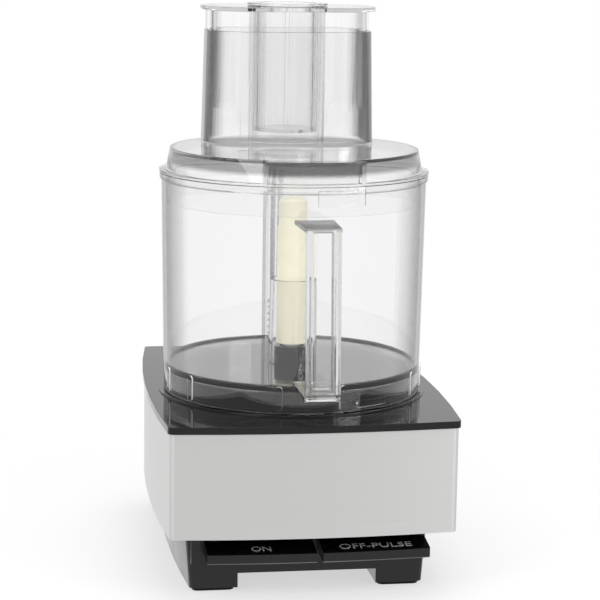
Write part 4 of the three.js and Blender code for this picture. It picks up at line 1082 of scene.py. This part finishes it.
def makeLettering(lever):
    setup = lettering[lever]
    deselect()
    bpy.ops.object.text_add()
    words = bpy.context.object
    words.name = lever + "_words"
    words.data.body = setup["words"]
    words.data.align_x = words.data.align_y = "CENTER"
    words.data.size = letters["drawn"] * millimetre
    words.data.extrude = letters["thick"] / 2 * millimetre
    bpy.ops.object.convert(target="MESH")
    size = words.dimensions
    words.data.transform(Matrix.Diagonal((
        setup["width"] * millimetre / size.x, letters["height"] * millimetre / size.y, 1, 1)))
    rise, run = letters["slope"]
    slope = math.degrees(math.atan2(rise, run))
    ends = low(lever, "x"), high(lever, "x")
    middleX = sum(ends) / 2
    straightLip = low(lever, "y") + lipOut(min(ends, key=abs))
    top = high(lever, "z") - rise + rise * (letters["fromLip"] - letters["lipRound"]) / run
    turnPiece(words, slope, "X")
    place = Vector((middleX, straightLip + letters["fromLip"], top + letters["proud"])) * millimetre
    words.data.transform(Matrix.Translation(place))
    for vertex in words.data.vertices:
        share = 1 - (vertex.co.y / millimetre - straightLip) / (run + letters["lipRound"])
        vertex.co.y -= lipOut(vertex.co.x / millimetre) * share * millimetre
    closeMesh(words)
    finish(words, lever, whiteInk)


for lever in lettering:
    finish(copyNode(lever + "_paddle", lever, 0.7, 3), lever, satinBlack, (lever,))
    makeLettering(lever)
print("stage: levers")


coil = {"node": "rod_spring", "joint": "rod_slide", "travel": 4}


def makeCoil():
    # the spring's own shape, in bright steel, riding with the bowl, with a mesh of its own
    spring = copyNode("rod_coil", coil["node"], 0)
    finish(spring, "bowl", steel, (coil["node"],))
    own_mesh(spring)


makeCoil()
print("stage: coil")


stem = {"wall": 4.1, "gap": 0.3, "neck": 0.8, "slope": 4, "chamfer": 2, "step": 22, "edge": 0.5, "steps": 64}


def makeStem():
    bottom, top = low("disc_stem", "z"), high("disc_stem", "z")
    shaftRadius, shaftTop = high("drive_shaft", "x"), high("drive_shaft", "z")
    bore = shaftRadius + stem["gap"]
    radius = bore + stem["wall"]
    neck = radius - stem["neck"]
    step = top - stem["step"]
    body = spinProfile("stem", [
        (bore, bottom), (radius, bottom), (radius, step), (neck, step + stem["slope"]),
        (neck, top - stem["chamfer"]), (neck - stem["chamfer"], top), (0, top), (0, shaftTop + stem["gap"]),
        (bore, shaftTop + stem["gap"]), (bore, bottom)], stem["steps"])
    roundEdges(body, stem["edge"], 3, 25)
    finish(body, "drive", ivory, ("disc_stem",))


makeStem()

keptNodes = [
    (steel, ["drive_shaft", "lever_rod", "bearing_top", "bearing_bottom", "interlock_rod"]
     + [f"base_screw_{number}" for number in range(1, 5)]
     + [f"rear_screw_{number}" for number in range(1, 3)]
     + [f"motor_bolt_{number}" for number in range(1, 5)]),
    (laminate, ["stator_core", "rotor_core"]),
    (copper, ["winding_top", "winding_bottom"]),
    (castAlloy, ["upper_bracket", "lower_bracket"]),
    (rubberBlack, ["shaft_seal"] + [f"rubber_mount_{number}" for number in range(1, 5)]),
    (switchBlack, ["switch_on", "switch_off", "interlock_switch", "relay", "cooling_fan"]),
    (switchWhite, ["plunger_on", "plunger_off", "interlock_plunger"]),
    (boardGreen, ["control_board"]),
    (capacitorGrey, ["capacitor"]),
]
for material, nodeNames in keptNodes:
    for nodeName in nodeNames:
        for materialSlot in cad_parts[nodeName].material_slots:
            materialSlot.material = material
print("stage: drive")
